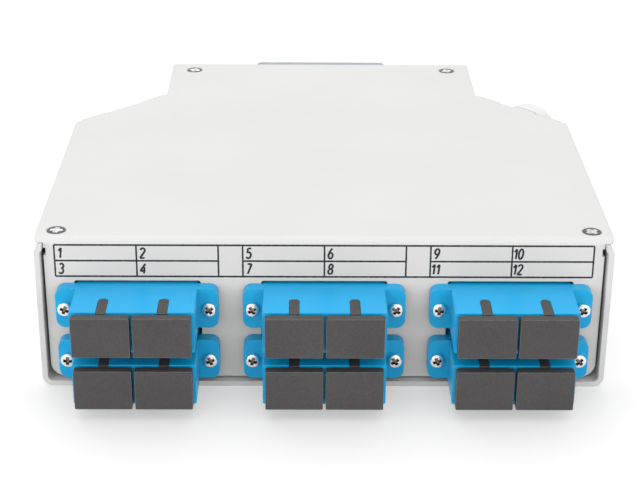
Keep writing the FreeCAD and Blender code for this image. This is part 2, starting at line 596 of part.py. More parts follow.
def make_cap():
    # Dust cap of one port in the same frame as its holder
    back = -HALF_L - CAP_STAND
    head = box(-CAP_W / 2, CAP_W / 2, back - CAP_T, back, -CAP_H / 2, CAP_H / 2)
    head = head.makeChamfer(CAP_BEVEL, [e for e in head.Edges if abs(e.BoundBox.YMin - back) < 1e-6])
    head = round_edges(head, CAP_EDGE, lambda e: along(e, Vector(0, 1, 0)))
    wide = PORT_W / 2 - CAP_FIT
    tall = PORT_H / 2 - CAP_FIT
    plug = box(-wide, wide, back, back + CAP_PLUG, -tall, tall)
    cell_w = wide - CAP_WALL - CAP_RIB / 2
    cell = box(-cell_w / 2, cell_w / 2, back + CAP_CELL, TOOL, -tall + CAP_WALL, tall - CAP_WALL)
    for side in (-1, 1):
        plug = plug.cut(moved(cell, side * (CAP_RIB + cell_w) / 2))
    # Key that fills the keyway
    key_r = KEY_W / 2 - CAP_KEY_FIT
    key_end = -HALF_L + KEY_L - KEY_W / 2
    key_low, key_top = tall - CAP_WALL, ADAPTER_H / 2 - CAP_KEY_DROP
    key = box(-key_r, key_r, back, key_end, key_low, key_top)
    key = key.fuse(rod(key_r, key_top - key_low, (0, key_end, key_low), (0, 0, 1)))
    return head.fuse(plug).fuse(key).removeSplitter()


def save_adapters():
    half = make_half()
    rear_half = half.mirror(Vector(0, 0, 0), Vector(0, 1, 0))
    holder = make_holder()
    rear_holder = holder.mirror(Vector(0, 0, 0), Vector(0, 1, 0))
    sleeve = make_sleeve()
    cap = make_cap()
    screw_l = 2 * HALF_FLANGE + SHEET + FLANGE_NUT_H + FLANGE_SCREW_END
    screw = on_y(pan_head(FLANGE_M - 2 * THREAD_GAP, FLANGE_HEAD, FLANGE_HEAD_H, screw_l))
    flange_nut = on_y(nut(FLANGE_M, FLANGE_NUT_AF, FLANGE_NUT_H))
    screws = []
    nuts = []
    number = 0
    for x in COLUMNS:
        for z in ROWS:
            number += 1
            name = "adapter_%d_" % number
            save(name + "front_housing", moved(half, x, SEAM_Y, z))
            save(name + "rear_housing", moved(rear_half, x, SEAM_Y, z))
            ports = [x - PORT_PITCH / 2, x + PORT_PITCH / 2]
            save(name + "latch_holders", *[moved(piece, p, SEAM_Y, z) for p in ports
                                           for piece in (holder, rear_holder)])
            save(name + "alignment_sleeves", *[moved(sleeve, p, SEAM_Y, z) for p in ports])
            for i, p in enumerate(ports):
                save("dust_cap_%02d" % (2 * number - 1 + i), moved(cap, p, SEAM_Y, z))
            for side in (-1, 1):
                screw_x = x + side * FLANGE_SCREW_X
                screws.append(moved(screw, screw_x, SEAM_Y - HALF_FLANGE, z))
                nuts.append(moved(flange_nut, screw_x, PANEL_Y + SHEET + FLANGE_NUT_H, z))
    save("adapter_screws", *screws)
    save("adapter_nuts", *nuts)


# Rail clip

def hook(side, low, high, base):
    # Wall beside the rail's edge with a lip over its flange, and a lead-in on the lip
    wall = RAIL_W / 2 + RAIL_SIDE
    tip = wall - HOOK_LIP
    lip = RAIL_SEAT + RAIL_T + RAIL_PLAY
    end = lip + HOOK_T
    points = [(wall, base), (wall, lip), (tip, lip), (tip, lip + HOOK_LEAD), (tip + HOOK_T, end),
              (wall + HOOK_T, end), (wall + HOOK_T, base)]
    return prism([(side * x, y) for x, y in points], low, high)


def make_clip_plate():
    plate = box(-CLIP_W / 2, CLIP_W / 2, REAR, RAIL_SEAT, CLIP_EDGE, BOX_H - CLIP_EDGE)
    plate = round_edges(plate, CLIP_CORNER, lambda e: along(e, Vector(0, 1, 0)))
    # Fixed hook on the left
    low, high = MID_Z - HOOK_H / 2, MID_Z + HOOK_H / 2
    root = box(-LATCH_HOOK_X - HOOK_T, -CLIP_W / 2 + HOOK_ROOT, REAR, RAIL_SEAT, low, high)
    plate = plate.fuse(root).fuse(hook(-1, low, high, REAR))
    # Guide for the latch: a wide rebate next to the box, a narrower slot next to the rail
    start = WINDOW_START - LATCH_END - SLIDE_GAP
    wide = LATCH_HALF + LATCH_FOOT + SLIDE_GAP
    narrow = LATCH_HALF + SLIDE_GAP
    rebate_end = RIB_END + LATCH_TRAVEL + SLIDE_GAP
    rebate_y = REAR + CLIP_T / 2 + SLIDE_GAP
    plate = plate.cut(box(start, rebate_end, REAR - 1, rebate_y, MID_Z - wide, MID_Z + wide))
    plate = plate.cut(box(start, TOOL, REAR - 1, RAIL_SEAT + 1, MID_Z - narrow, MID_Z + narrow))
    # Bridge over the latch with the stop that the spring leans on
    span = LATCH_HALF + BRIDGE_SEAT
    tongue = WINDOW_HALF - SLIDE_GAP
    bridge = box(STOP_X, STOP_X + BRIDGE_W, RAIL_SEAT, RAIL_SEAT + BRIDGE_T, MID_Z - span, MID_Z + span)
    stop_y = RAIL_SEAT + BRIDGE_T
    stop = box(STOP_X, STOP_X + STOP_T, REAR + SLIDE_GAP, stop_y, MID_Z - tongue, MID_Z + tongue)
    plate = plate.fuse(bridge.fuse(stop))
    sink = on_y(countersink(CLIP_M, CLIP_HEAD, CLIP_SUNK))
    for z in clip_screw_places():
        plate = plate.cut(moved(sink, 0, RAIL_SEAT, z, 180))
    return plate.removeSplitter()


def make_latch():
    # Sprung latch on the right, pulled outwards to let go of the rail
    inner, outer = REAR + SLIDE_GAP, RAIL_SEAT - SLIDE_GAP
    low, high = MID_Z - LATCH_HALF, MID_Z + LATCH_HALF
    start = WINDOW_START - LATCH_END
    hook_end = LATCH_HOOK_X + HOOK_T
    latch = box(start, hook_end + LATCH_TAIL, inner, outer, low, high)
    latch = latch.fuse(box(start, RIB_END, inner, REAR + CLIP_T / 2, low - LATCH_FOOT, high + LATCH_FOOT))
    latch = latch.fuse(hook(1, low, high, inner)).removeSplitter()
    latch = round_edges(latch, LATCH_CORNER,
                        lambda e: along(e, Vector(0, 1, 0)) and e.Vertexes[0].X > hook_end + LATCH_TAIL / 2)
    window_end = STOP_X + STOP_T + 2 * SLIDE_GAP
    pull = hook_end + LATCH_TAIL * PULL_SHARE
    for x0, x1, half in ((WINDOW_START, window_end, WINDOW_HALF),
                         (pull - PULL_W / 2, pull + PULL_W / 2, PULL_H / 2)):
        latch = latch.cut(box(x0, x1, REAR, RAIL_SEAT, MID_Z - half, MID_Z + half))
    return latch.removeSplitter()


def make_spring():
    # Compression spring between the window of the latch and the stop of the plate
    coil = SPRING_L - 2 * SPRING_WIRE
    helix = Part.makeHelix(coil / SPRING_TURNS, coil, SPRING_R)
    section = Part.Wire(Part.makeCircle(SPRING_WIRE, Vector(SPRING_R, 0, 0), Vector(0, 1, 0)))
    spring = Part.Wire(helix).makePipeShell([section], True, True)
    spring.rotate(Vector(0, 0, 0), Vector(0, 1, 0), 90)
    spring.translate(Vector(WINDOW_START + SPRING_SEAT + SPRING_WIRE, REAR + CLIP_T / 2, MID_Z))
    return spring


def save_clip():
    save("clip_plate", make_clip_plate())
    screw_l = CLIP_T + SHEET + CLIP_NUT_H + CLIP_SCREW_END
    screw = on_y(countersunk(CLIP_M - 2 * THREAD_GAP, CLIP_HEAD, screw_l))
    clip_nut = on_y(nut(CLIP_M, CLIP_NUT_AF, CLIP_NUT_H))
    places = clip_screw_places()
    save("clip_screws", *[moved(screw, 0, RAIL_SEAT - CLIP_SUNK, z, 180) for z in places])
    save("clip_nuts", *[moved(clip_nut, 0, REAR - SHEET, z) for z in places])
    save("clip_latch", make_latch())
    save("clip_spring", make_spring())


# Cable gland

def save_gland():
    # Drawn along +Z with the outside of the wall at z = 0, then turned into the right shoulder
    def in_shoulder(shape):
        x, y, turn = shoulder_frame(1)
        shape.rotate(Vector(0, 0, 0), Vector(0, 1, 0), 90)
        return moved(shape, x, y, GLAND_Z, turn)

    def bar(radius, start, end):
        return rod(radius, end - start, (0, 0, start), (0, 0, 1))

    def hex_bar(start, end):
        return moved(hexagon(GLAND_AF, end - start), 0, 0, start, 30)

    corner_r = GLAND_AF / math.sqrt(3)
    seat_r = GLAND_OUT_R - SEAL_LIP
    seal_start = GLAND_HEX_T + SEAL_SEAT
    dome_start = GLAND_HEX_T + DOME_GAP
    dome_end = dome_start + DOME_L
    bevelled = Part.makeCone(corner_r, corner_r - GLAND_BEVEL, GLAND_HEX_T)
    body = hex_bar(0, GLAND_HEX_T).common(bevelled)
    body = body.fuse(bar(GLAND_R, -SHEET - GLAND_IN, 0))
    body = body.fuse(bar(GLAND_OUT_R, GLAND_HEX_T, GLAND_HEX_T + GLAND_OUT))
    body = body.cut(bar(GLAND_BORE, -TOOL, TOOL)).cut(bar(seat_r, seal_start, TOOL))
    save("gland_body", in_shoulder(body.removeSplitter()))
    turned = bar(GLAND_AF / 2 + DOME_CORNER, dome_start, dome_end)
    turned = round_edges(turned, DOME_ROUND, lambda e: at_height(e, dome_end) and len(e.Vertexes) == 1)
    dome = hex_bar(dome_start, dome_end).common(turned)
    dome = dome.cut(bar(GLAND_OUT_R + THREAD_GAP, 0, dome_end - DOME_WALL))
    dome = dome.cut(bar(CABLE_R + CABLE_GAP, 0, TOOL))
    save("gland_dome_nut", in_shoulder(dome.removeSplitter()))
    locknut = hex_bar(-SHEET - GLAND_NUT_T, -SHEET).cut(bar(GLAND_R + THREAD_GAP, -TOOL / 2, TOOL / 2))
    save("gland_locknut", in_shoulder(locknut))
    seal_end = dome_end - DOME_WALL - THREAD_GAP
    seal = bar(seat_r - THREAD_GAP, seal_start, seal_end).cut(bar(CABLE_R, 0, TOOL))
    save("gland_seal", in_shoulder(seal))


# Splice cassette

def cassette_block(gap, z0, z1):
    # Rounded block that stands back from the outside of the cassette by the gap
    half = CASSETTE_W / 2 - gap
    block = box(-half, half, CASSETTE_AT + gap, CASSETTE_AT + CASSETTE_L - gap, z0, z1)
    return round_edges(block, CASSETTE_R - gap, upright)


def make_cassette_base():
    floor, above = CASSETTE_FLOOR, CASSETTE_TOP + 1
    base = cassette_block(0, CASSETTE_Z, CASSETTE_TOP).cut(cassette_block(CASSETTE_T, floor, above))
    for side in (-1, 1):
        # Fibre entry in the front rim, half round guide for the loops, and hole for the peg of a comb
        gate = side * (CASSETTE_W / 2 - CASSETTE_R - GATE_W)
        gate_y = CASSETTE_AT + 2 * CASSETTE_T
        base = base.cut(box(gate - GATE_W / 2, gate + GATE_W / 2, CASSETTE_AT - 1, gate_y, floor, above))
        hub = side * GUIDE_X
        guide = rod(GUIDE_R, CASSETTE_RIM - GUIDE_DROP, (hub, CASSETTE_MID, floor), (0, 0, 1))
        guide = guide.cut(rod(GUIDE_R - GUIDE_T, TOOL, (hub, CASSETTE_MID, floor), (0, 0, 1)))
        inner_half = box(min(0, hub), max(0, hub), CASSETTE_MID - TOOL, CASSETTE_MID + TOOL, 0, TOOL)
        base = base.fuse(guide.cut(inner_half))
        peg_floor = floor - PEG_H - THREAD_GAP
        base = base.cut(rod(PEG_R + THREAD_GAP, TOOL, (side * COMB_X, CASSETTE_MID, peg_floor), (0, 0, 1)))
    for x, y in standoff_places():
        base = base.cut(rod(CASSETTE_M / 2 + HOLE_GAP, TOOL, (x, y, 0), (0, 0, 1)))
    return base.removeSplitter()


def make_comb(x):
    floor = CASSETTE_FLOOR
    axis_z = floor + GROOVE_Z
    front = CASSETTE_MID - COMB_SLOTS * COMB_PITCH / 2 - COMB_END
    back = 2 * CASSETTE_MID - front
    comb = box(x - COMB_W / 2, x + COMB_W / 2, front, back, floor, floor + COMB_H)
    for i in range(COMB_SLOTS):
        y = CASSETTE_MID + (i - (COMB_SLOTS - 1) / 2) * COMB_PITCH
        groove = rod(GROOVE_R, TOOL, (x - TOOL / 2, y, axis_z), (1, 0, 0))
        mouth = box(x - COMB_W, x + COMB_W, y - GROOVE_MOUTH / 2, y + GROOVE_MOUTH / 2, axis_z, TOOL)
        comb = comb.cut(groove).cut(mouth)
    return comb.fuse(rod(PEG_R, PEG_H, (x, CASSETTE_MID, floor - PEG_H), (0, 0, 1))).removeSplitter()


def make_lid():
    outer = CASSETTE_T + LID_GAP
    rim_low = CASSETTE_TOP - LID_DEPTH
    rim = cassette_block(outer, rim_low, CASSETTE_TOP)
    rim = rim.cut(cassette_block(outer + LID_RIM, rim_low - 1, CASSETTE_TOP))
    return cassette_block(0, CASSETTE_TOP, CASSETTE_TOP + LID_T).fuse(rim).removeSplitter()


def make_standoff():
    post = rod(STANDOFF_R, STANDOFF_H, (0, 0, SHEET), (0, 0, 1))
    spigot_r = STANDOFF_R - STANDOFF_STEP
    post = post.fuse(rod(spigot_r, SHEET - STANDOFF_SUNK, (0, 0, STANDOFF_SUNK), (0, 0, 1)))
    hole_low = CASSETTE_FLOOR - CASSETTE_SCREW_L - THREAD_GAP
    return post.cut(rod(CASSETTE_M / 2, TOOL, (0, 0, hole_low), (0, 0, 1))).removeSplitter()


def save_cassette():
    save("cassette_base", make_cassette_base())
    save("splice_comb_left", make_comb(-COMB_X))
    save("splice_comb_right", make_comb(COMB_X))
    save("cassette_lid", make_lid())
    screw = pan_head(CASSETTE_M - 2 * THREAD_GAP, CASSETTE_HEAD, CASSETTE_HEAD_H, CASSETTE_SCREW_L)
    save("cassette_screws", *[moved(screw, x, y, CASSETTE_FLOOR) for x, y in standoff_places()])
    standoff = make_standoff()
    save("cassette_standoffs", *[moved(standoff, x, y) for x, y in standoff_places()])


os.makedirs("parts", exist_ok=True)
save_box()
save_adapters()
save_clip()
save_gland()
save_cassette()
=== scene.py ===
# %% [markdown]
# # A fibre box for a mounting rail
# The object is a flat steel box that joins fibre cables in a cabinet. A tray and a cover of painted sheet
# steel hold six blue twin adapters under dark dust caps, a splice cassette sits inside, and a sprung clip on
# the back grips the rail. The measured model is loaded first, because every finish and every added piece has
# to follow its sizes.

# %% Load the measured model
import math
from functools import partial

import bmesh
import bpy
from mathutils import Matrix, Vector


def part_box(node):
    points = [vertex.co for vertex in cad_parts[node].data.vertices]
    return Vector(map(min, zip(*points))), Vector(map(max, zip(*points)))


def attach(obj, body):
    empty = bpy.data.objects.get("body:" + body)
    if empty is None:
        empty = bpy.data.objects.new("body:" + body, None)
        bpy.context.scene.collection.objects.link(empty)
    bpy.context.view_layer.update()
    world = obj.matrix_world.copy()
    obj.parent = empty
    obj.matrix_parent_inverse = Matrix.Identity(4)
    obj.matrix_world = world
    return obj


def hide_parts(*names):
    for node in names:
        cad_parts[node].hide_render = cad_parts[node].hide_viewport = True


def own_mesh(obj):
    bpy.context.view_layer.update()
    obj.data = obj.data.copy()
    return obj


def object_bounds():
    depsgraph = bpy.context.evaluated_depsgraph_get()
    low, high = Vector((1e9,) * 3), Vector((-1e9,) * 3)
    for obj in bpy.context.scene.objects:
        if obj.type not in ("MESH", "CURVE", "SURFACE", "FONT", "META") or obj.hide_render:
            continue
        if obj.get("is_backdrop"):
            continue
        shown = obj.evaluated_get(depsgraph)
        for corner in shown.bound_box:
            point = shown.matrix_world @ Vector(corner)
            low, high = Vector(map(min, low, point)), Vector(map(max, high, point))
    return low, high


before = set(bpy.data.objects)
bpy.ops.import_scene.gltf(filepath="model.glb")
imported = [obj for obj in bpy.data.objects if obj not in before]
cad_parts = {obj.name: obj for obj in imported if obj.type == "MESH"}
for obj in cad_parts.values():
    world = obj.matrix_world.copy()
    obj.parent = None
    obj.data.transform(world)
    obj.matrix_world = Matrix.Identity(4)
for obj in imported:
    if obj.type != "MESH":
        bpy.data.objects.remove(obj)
cad_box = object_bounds()
MM = 0.001
scene = bpy.context.scene
scene.view_settings.view_transform = "Standard"

# %% [markdown]
# ## A small kit for finishes
# A finish is a material made of nodes. It could be put together by hand in the shader editor, but a recipe in
# a script can be read and run again. A few helpers keep the recipes short: one starts a material, one adds a
# node, and one fills a node's sockets. A plain value is set on the socket itself, and the output of another
# node is linked to it.


# %% Helpers that start a finish and add its nodes
def start_finish(name):
    material = bpy.data.materials.new(name)
    material.use_nodes = True
    tree = material.node_tree
    return material, tree, tree.nodes["Principled BSDF"]


def fill(tree, node, sockets):
    for key, value in sockets.items():
        if isinstance(value, bpy.types.NodeSocket):
            tree.links.new(value, node.inputs[key])
        else:
            node.inputs[key].default_value = value


def add(tree, kind, sockets=None, **settings):
    node = tree.nodes.new(kind)
    for key, choice in settings.items():
        setattr(node, key, choice)
    fill(tree, node, sockets or {})
    return node


def math_node(tree, operation, *terms):
    return add(tree, "ShaderNodeMath", dict(enumerate(terms)), operation=operation).outputs[0]


def srgb(red, green, blue):
    # Colours are noted as a screen shows them, and the shader works with linear light
    def linear(level):
        level /= 255
        return level / 12.92 if level <= 0.04045 else ((level + 0.055) / 1.055) ** 2.4
    return (linear(red), linear(green), linear(blue), 1.0)


print("finish kit ready")

# %% [markdown]
# Most finishes share a few small patterns. Each of them reads Object coordinates, which are metres in the
# model's own frame, so a grain of half a millimetre has a scale of 2000. Rubbed edges and edges with a
# painted highlight could be painted by hand, but the Bevel node finds them: where its rounded normal leaves
# the true one, there is an edge.

# %% Patterns that most finishes share
# Most of a noise lies between these two
NOISE_LOW, NOISE_HIGH = 0.3, 0.7
# Sockets of a colour mix, which have the same names as those of other mixes
MIX_SHARE, MIX_FIRST, MIX_SECOND, MIX_RESULT = 0, 6, 7, 2


def grain(tree, scale, detail=2.0, roughness=0.5, stretch=(1, 1, 1)):
    place = add(tree, "ShaderNodeTexCoord").outputs["Object"]
    mapping = add(tree, "ShaderNodeMapping", {"Vector": place, "Scale": stretch})
    noise = add(tree, "ShaderNodeTexNoise", {
        "Vector": mapping.outputs["Vector"], "Scale": scale, "Detail": detail, "Roughness": roughness})
    return noise.outputs["Fac"]


def spread(tree, value, low, high):
    # Turns a noise, which lies mostly near its middle, into a range of values
    band = add(tree, "ShaderNodeMapRange", {
        "Value": value, "From Min": NOISE_LOW, "From Max": NOISE_HIGH, "To Min": low, "To Max": high})
    return band.outputs["Result"]


def tint(tree, share, first, second):
    mix = add(tree, "ShaderNodeMix", {MIX_SHARE: share, MIX_FIRST: first, MIX_SECOND: second},
              data_type="RGBA")
    return mix.outputs[MIX_RESULT]


print("grain, spread and tint ready")

# %% Relief, worn edges and painted edge highlights
# How far the rounded normal agrees with the true one on a face and on an edge
ON_FACE, ON_EDGE = 0.98, 0.75


def relief(tree, height, depth, strength, soft_edge=0.0):
    bump = add(tree, "ShaderNodeBump", {"Height": height, "Strength": strength, "Distance": depth})
    if soft_edge:
        edge = add(tree, "ShaderNodeBevel", {"Radius": soft_edge}, samples=4)
        fill(tree, bump, {"Normal": edge.outputs["Normal"]})
    return bump.outputs["Normal"]


def edge_line(tree, width):
    # Grows from 0 on a face to 1 on its edges
    rounded = add(tree, "ShaderNodeBevel", {"Radius": width}, samples=6)
    facing = add(tree, "ShaderNodeNewGeometry")
    agree = add(tree, "ShaderNodeVectorMath", {0: rounded.outputs["Normal"], 1: facing.outputs["Normal"]},
                operation="DOT_PRODUCT")
    band = add(tree, "ShaderNodeMapRange", {
        "Value": agree.outputs["Value"], "From Min": ON_FACE, "From Max": ON_EDGE})
    return band.outputs["Result"]


def worn_and_highlit(tree, colour, shade, width, amount=1.0):
    # Mixes a second tone into the edges, broken up by a coarse grain: wear on the powder coat and the metals,
    # a painted highlight on the adapters and caps
    patchy = math_node(tree, "MULTIPLY", edge_line(tree, width), grain(tree, scale=700, detail=3))
    return tint(tree, math_node(tree, "MULTIPLY", patchy, amount), colour, shade)


print("relief and worn edges ready")

# %% [markdown]
# ## Powder coat
# Tray and cover are sprayed with light grey powder and baked. Up close that skin is a low orange peel about a
# millimetre from hump to hump, with a much finer grain on it. A picture of it would repeat on so large a
# sheet, so two noises of different scale give the two reliefs, and a slow third one keeps the top from
# looking like one flat colour. Powder draws back from sharp edges, so they show as a thin greyer line.

# %% Powder coat of the sheet steel
# Specular level of paint and plastic, and height of the fine grain over that of the peel
SOFT_SHINE = 0.35
FINE_SHARE = 0.35


def powder_coat():
    material, tree, shader = start_finish("powder_coat_grey")
    cloud = spread(tree, grain(tree, scale=35, detail=3), 0.0, 1.0)
    colour = tint(tree, cloud, srgb(230, 230, 229), srgb(234, 234, 233))
    peel = grain(tree, scale=1100, detail=1)
    fine = grain(tree, scale=5200)
    skin = math_node(tree, "MULTIPLY_ADD", fine, FINE_SHARE, peel)
    fill(tree, shader, {
        "Specular IOR Level": SOFT_SHINE,
        "Base Color": worn_and_highlit(tree, colour, srgb(206, 206, 204), width=0.25 * MM, amount=0.8),
        "Normal": relief(tree, skin, depth=0.03 * MM, strength=0.35, soft_edge=0.25 * MM),
        "Roughness": spread(tree, fine, 0.5, 0.6)})
    return material


POWDER_COAT = powder_coat()
print("made", POWDER_COAT.name)

# %% [markdown]
# ## Moulded plastics
# The adapters, dust caps, gland and cassette are injection moulded. They share one recipe: a body colour with
# a faint flow cloud and a speckle, a fine spark-eroded grain from the mould, and a gloss that changes a
# little over the surface. Only the colours and the coarseness differ, so one function makes all of them.
# The edges of adapters and caps are painted paler, a painted highlight where light catches them. The blue
# would also colour the grey panel around it far more than the picture shows, so light that it throws on
# other pieces takes a duller tone, which Light Path tells apart from what the eye sees.

# %% Recipe for moulded plastic
# Shares of cloud and speckle in the colour, and how far the roughness leaves its middle
CLOUD_SHARE, SPECKLE_SHARE = 0.3, 0.7
GLOSSIER, DULLER = 0.05, 0.06


def moulded(name, dark, light, rough, size, depth, edge=None, edge_highlight_width=0.0, bounce=None):
    # rough is the middle roughness, size and depth are those of the mould's grain
    material, tree, shader = start_finish(name)
    skin = grain(tree, scale=1 / size)
    cloud = spread(tree, grain(tree, scale=90, detail=3), 0.0, CLOUD_SHARE)
    cloud = math_node(tree, "ADD", cloud, spread(tree, skin, 0.0, SPECKLE_SHARE))
    colour = tint(tree, cloud, dark, light)
    # A paler tone on the edges, painted as a highlight
    if edge:
        colour = worn_and_highlit(tree, colour, edge, edge_highlight_width)
    if bounce:
        ray = add(tree, "ShaderNodeLightPath")
        colour = tint(tree, ray.outputs["Is Diffuse Ray"], colour, bounce)
    fill(tree, shader, {
        "Specular IOR Level": SOFT_SHINE, "Base Color": colour,
        "Normal": relief(tree, skin, depth, strength=0.4, soft_edge=0.15 * MM),
        "Roughness": spread(tree, skin, rough - GLOSSIER, rough + DULLER)})
    return material


print("recipe for plastics ready")

# %% Plastics of adapters, caps, gland and cassette
# The paler edge tones of adapters and caps are painted highlights
ADAPTER_BLUE = moulded(
    "adapter_blue", srgb(8, 179, 243), srgb(18, 189, 250), rough=0.36, size=0.28 * MM, depth=0.012 * MM,
    edge=srgb(104, 212, 250), edge_highlight_width=0.18 * MM, bounce=srgb(126, 130, 133))
CAP_CHARCOAL = moulded(
    "cap_charcoal", srgb(66, 64, 64), srgb(84, 82, 82), rough=0.52, size=0.3 * MM, depth=0.02 * MM,
    edge=srgb(186, 182, 180), edge_highlight_width=0.24 * MM)
HOLDER_WHITE = moulded(
    "holder_white", srgb(226, 225, 220), srgb(236, 235, 231), rough=0.42, size=0.25 * MM, depth=0.01 * MM)
GLAND_PALE = moulded(
    "gland_pale", srgb(238, 239, 238), srgb(245, 246, 245), rough=0.42, size=0.35 * MM, depth=0.015 * MM)
GLAND_RUBBER = moulded(
    "gland_rubber", srgb(34, 34, 35), srgb(42, 42, 43), rough=0.68, size=0.3 * MM, depth=0.02 * MM)
CASSETTE_GREY = moulded(
    "cassette_grey", srgb(196, 198, 198), srgb(206, 208, 208), rough=0.45, size=0.35 * MM, depth=0.015 * MM)
COMB_GREY = moulded(
    "comb_grey", srgb(92, 95, 98), srgb(102, 105, 108), rough=0.5, size=0.3 * MM, depth=0.015 * MM)
print("made seven plastics")

# %% [markdown]
# ## Metals
# Screws, nuts and standoffs are zinc plated, the rail clip is a bare zinc casting with a bluish grey skin,
# and the spring is drawn wire. A metal shows little colour of its own and lives from reflections, so the
# pattern goes into the roughness as well: soft blotches for plating, longer streaks for wire. Edges are
# rubbed bright.

# %% Zinc, cast zinc and spring wire
ALONG_WIRE = (0.2, 1, 1)


def bare_metal(name, dark, light, smooth, rough, scale, stretch=(1, 1, 1)):
    material, tree, shader = start_finish(name)
    blotch = grain(tree, scale, detail=4, roughness=0.6, stretch=stretch)
    fine = grain(tree, scale=scale * 6)
    colour = tint(tree, spread(tree, blotch, 0.0, 1.0), dark, light)
    fill(tree, shader, {
        "Metallic": 1.0,
        "Base Color": worn_and_highlit(tree, colour, srgb(232, 233, 234), width=0.2 * MM),
        "Roughness": spread(tree, blotch, smooth, rough),
        "Normal": relief(tree, fine, depth=0.008 * MM, strength=0.3, soft_edge=0.08 * MM)})
    return material


SCREW_ZINC = bare_metal(
    "screw_zinc", srgb(205, 206, 206), srgb(228, 229, 228), smooth=0.18, rough=0.34, scale=900)
CLIP_ZINC = bare_metal(
    "clip_zinc", srgb(156, 165, 172), srgb(182, 190, 195), smooth=0.34, rough=0.5, scale=260)
SPRING_WIRE = bare_metal(
    "spring_wire", srgb(170, 170, 172), srgb(196, 196, 198), smooth=0.22, rough=0.36, scale=700,
    stretch=ALONG_WIRE)
print("made three metals")

# %% [markdown]
# ## Ceramic and clear lid
# The split sleeves that line up the fibre ends are zirconia, almost white and very smooth. The cassette lid
# is clear moulded plastic, so light passes through it. A glass shader could do that too, but the same shader
# as everywhere else keeps the recipes alike: its transmission and index are plain numbers on its sockets.

# %% Zirconia and the clear lid
ACRYLIC_INDEX = 1.49


def zirconia():
    material, tree, shader = start_finish("sleeve_zirconia")
    cloud = spread(tree, grain(tree, scale=400), 0.0, 1.0)
    fill(tree, shader, {
        "Base Color": tint(tree, cloud, srgb(238, 236, 228), srgb(246, 244, 238)),
        "Roughness": spread(tree, grain(tree, scale=2500), 0.12, 0.2)})
    return material


def clear_lid():
    material, tree, shader = start_finish("lid_clear")
    skin = grain(tree, scale=600)
    fill(tree, shader, {
        "Base Color": srgb(236, 240, 242), "Transmission Weight": 0.9, "IOR": ACRYLIC_INDEX,
        "Roughness": spread(tree, skin, 0.06, 0.14),
        "Normal": relief(tree, skin, depth=0.01 * MM, strength=0.2)})
    return material


SLEEVE_ZIRCONIA = zirconia()
LID_CLEAR = clear_lid()
print("made", SLEEVE_ZIRCONIA.name, "and", LID_CLEAR.name)

# %% [markdown]
# ## Paint the measured pieces
# Most pieces keep their measured shape and only get a finish. Each could be given one by hand, but the names
# of the nodes say what they are, so a short table from a part of the name to its finish is enough. The
# longest part that fits counts, and the loop stops if a node is forgotten.

# %% Finishes on the nodes
FINISHES = {
    "tray": POWDER_COAT, "cover": POWDER_COAT, "cover_screws": SCREW_ZINC,
    "front_housing": ADAPTER_BLUE, "rear_housing": ADAPTER_BLUE, "latch_holders": HOLDER_WHITE,
    "alignment_sleeves": SLEEVE_ZIRCONIA, "dust_cap": CAP_CHARCOAL,
    "adapter_screws": SCREW_ZINC, "adapter_nuts": SCREW_ZINC,
    "clip_plate": CLIP_ZINC, "clip_latch": CLIP_ZINC, "clip_spring": SPRING_WIRE,
    "clip_screws": SCREW_ZINC, "clip_nuts": SCREW_ZINC,
    "gland_body": GLAND_PALE, "gland_dome_nut": GLAND_PALE, "gland_locknut": GLAND_PALE,
    "gland_seal": GLAND_RUBBER,
    "cassette_base": CASSETTE_GREY, "cassette_lid": LID_CLEAR, "splice_comb": COMB_GREY,
    "cassette_screws": SCREW_ZINC, "cassette_standoffs": SCREW_ZINC,
}
longest_first = sorted(FINISHES, key=len, reverse=True)
for name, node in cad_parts.items():
    finish = next(FINISHES[key] for key in longest_first if key in name)
    node.data.materials.clear()
    node.data.materials.append(finish)
print("painted", len(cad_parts), "nodes")

# %% [markdown]
# ## The printed table
# Thin black lines and the port numbers 1 to 12 are printed over the adapters, and the top line runs into the
# fold of the cover. The drawing is made flat, as strokes of a pen on a page, and Geometry Nodes then give
# every stroke its width and wrap the page round the fold. An image would blur up close and a font would look
# too typeset.

# %% Places of the table on the panel
cover_low, cover_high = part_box("cover")
PANEL_FACE = cover_low.y
FOLD_RADIUS = 1.6 * MM
FOLD_START = cover_high.z - FOLD_RADIUS
CELL_HEIGHT = 3.67 * MM
TABLE_TOP = cover_high.z - 1.7 * MM
TABLE_MIDDLE = TABLE_TOP - CELL_HEIGHT
TABLE_BOTTOM = TABLE_TOP - 2 * CELL_HEIGHT
housings = [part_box("adapter_%d_front_housing" % n) for n in range(1, 7)]
columns = sorted({round((low.x + high.x) / 2, 6) for low, high in housings})
GROUP_HALF = (housings[0][1].x - housings[0][0].x) / 2
TABLE_END = columns[-1] + GROUP_HALF
print("columns at", [round(x / MM, 2) for x in columns], "mm")


# %% Digits drawn with strokes
def arc(cx, cy, rx, ry, start, end, steps=14):
    angles = [math.radians(start + (end - start) * i / steps) for i in range(steps + 1)]
    return [(cx + rx * math.cos(a), cy + ry * math.sin(a)) for a in angles]


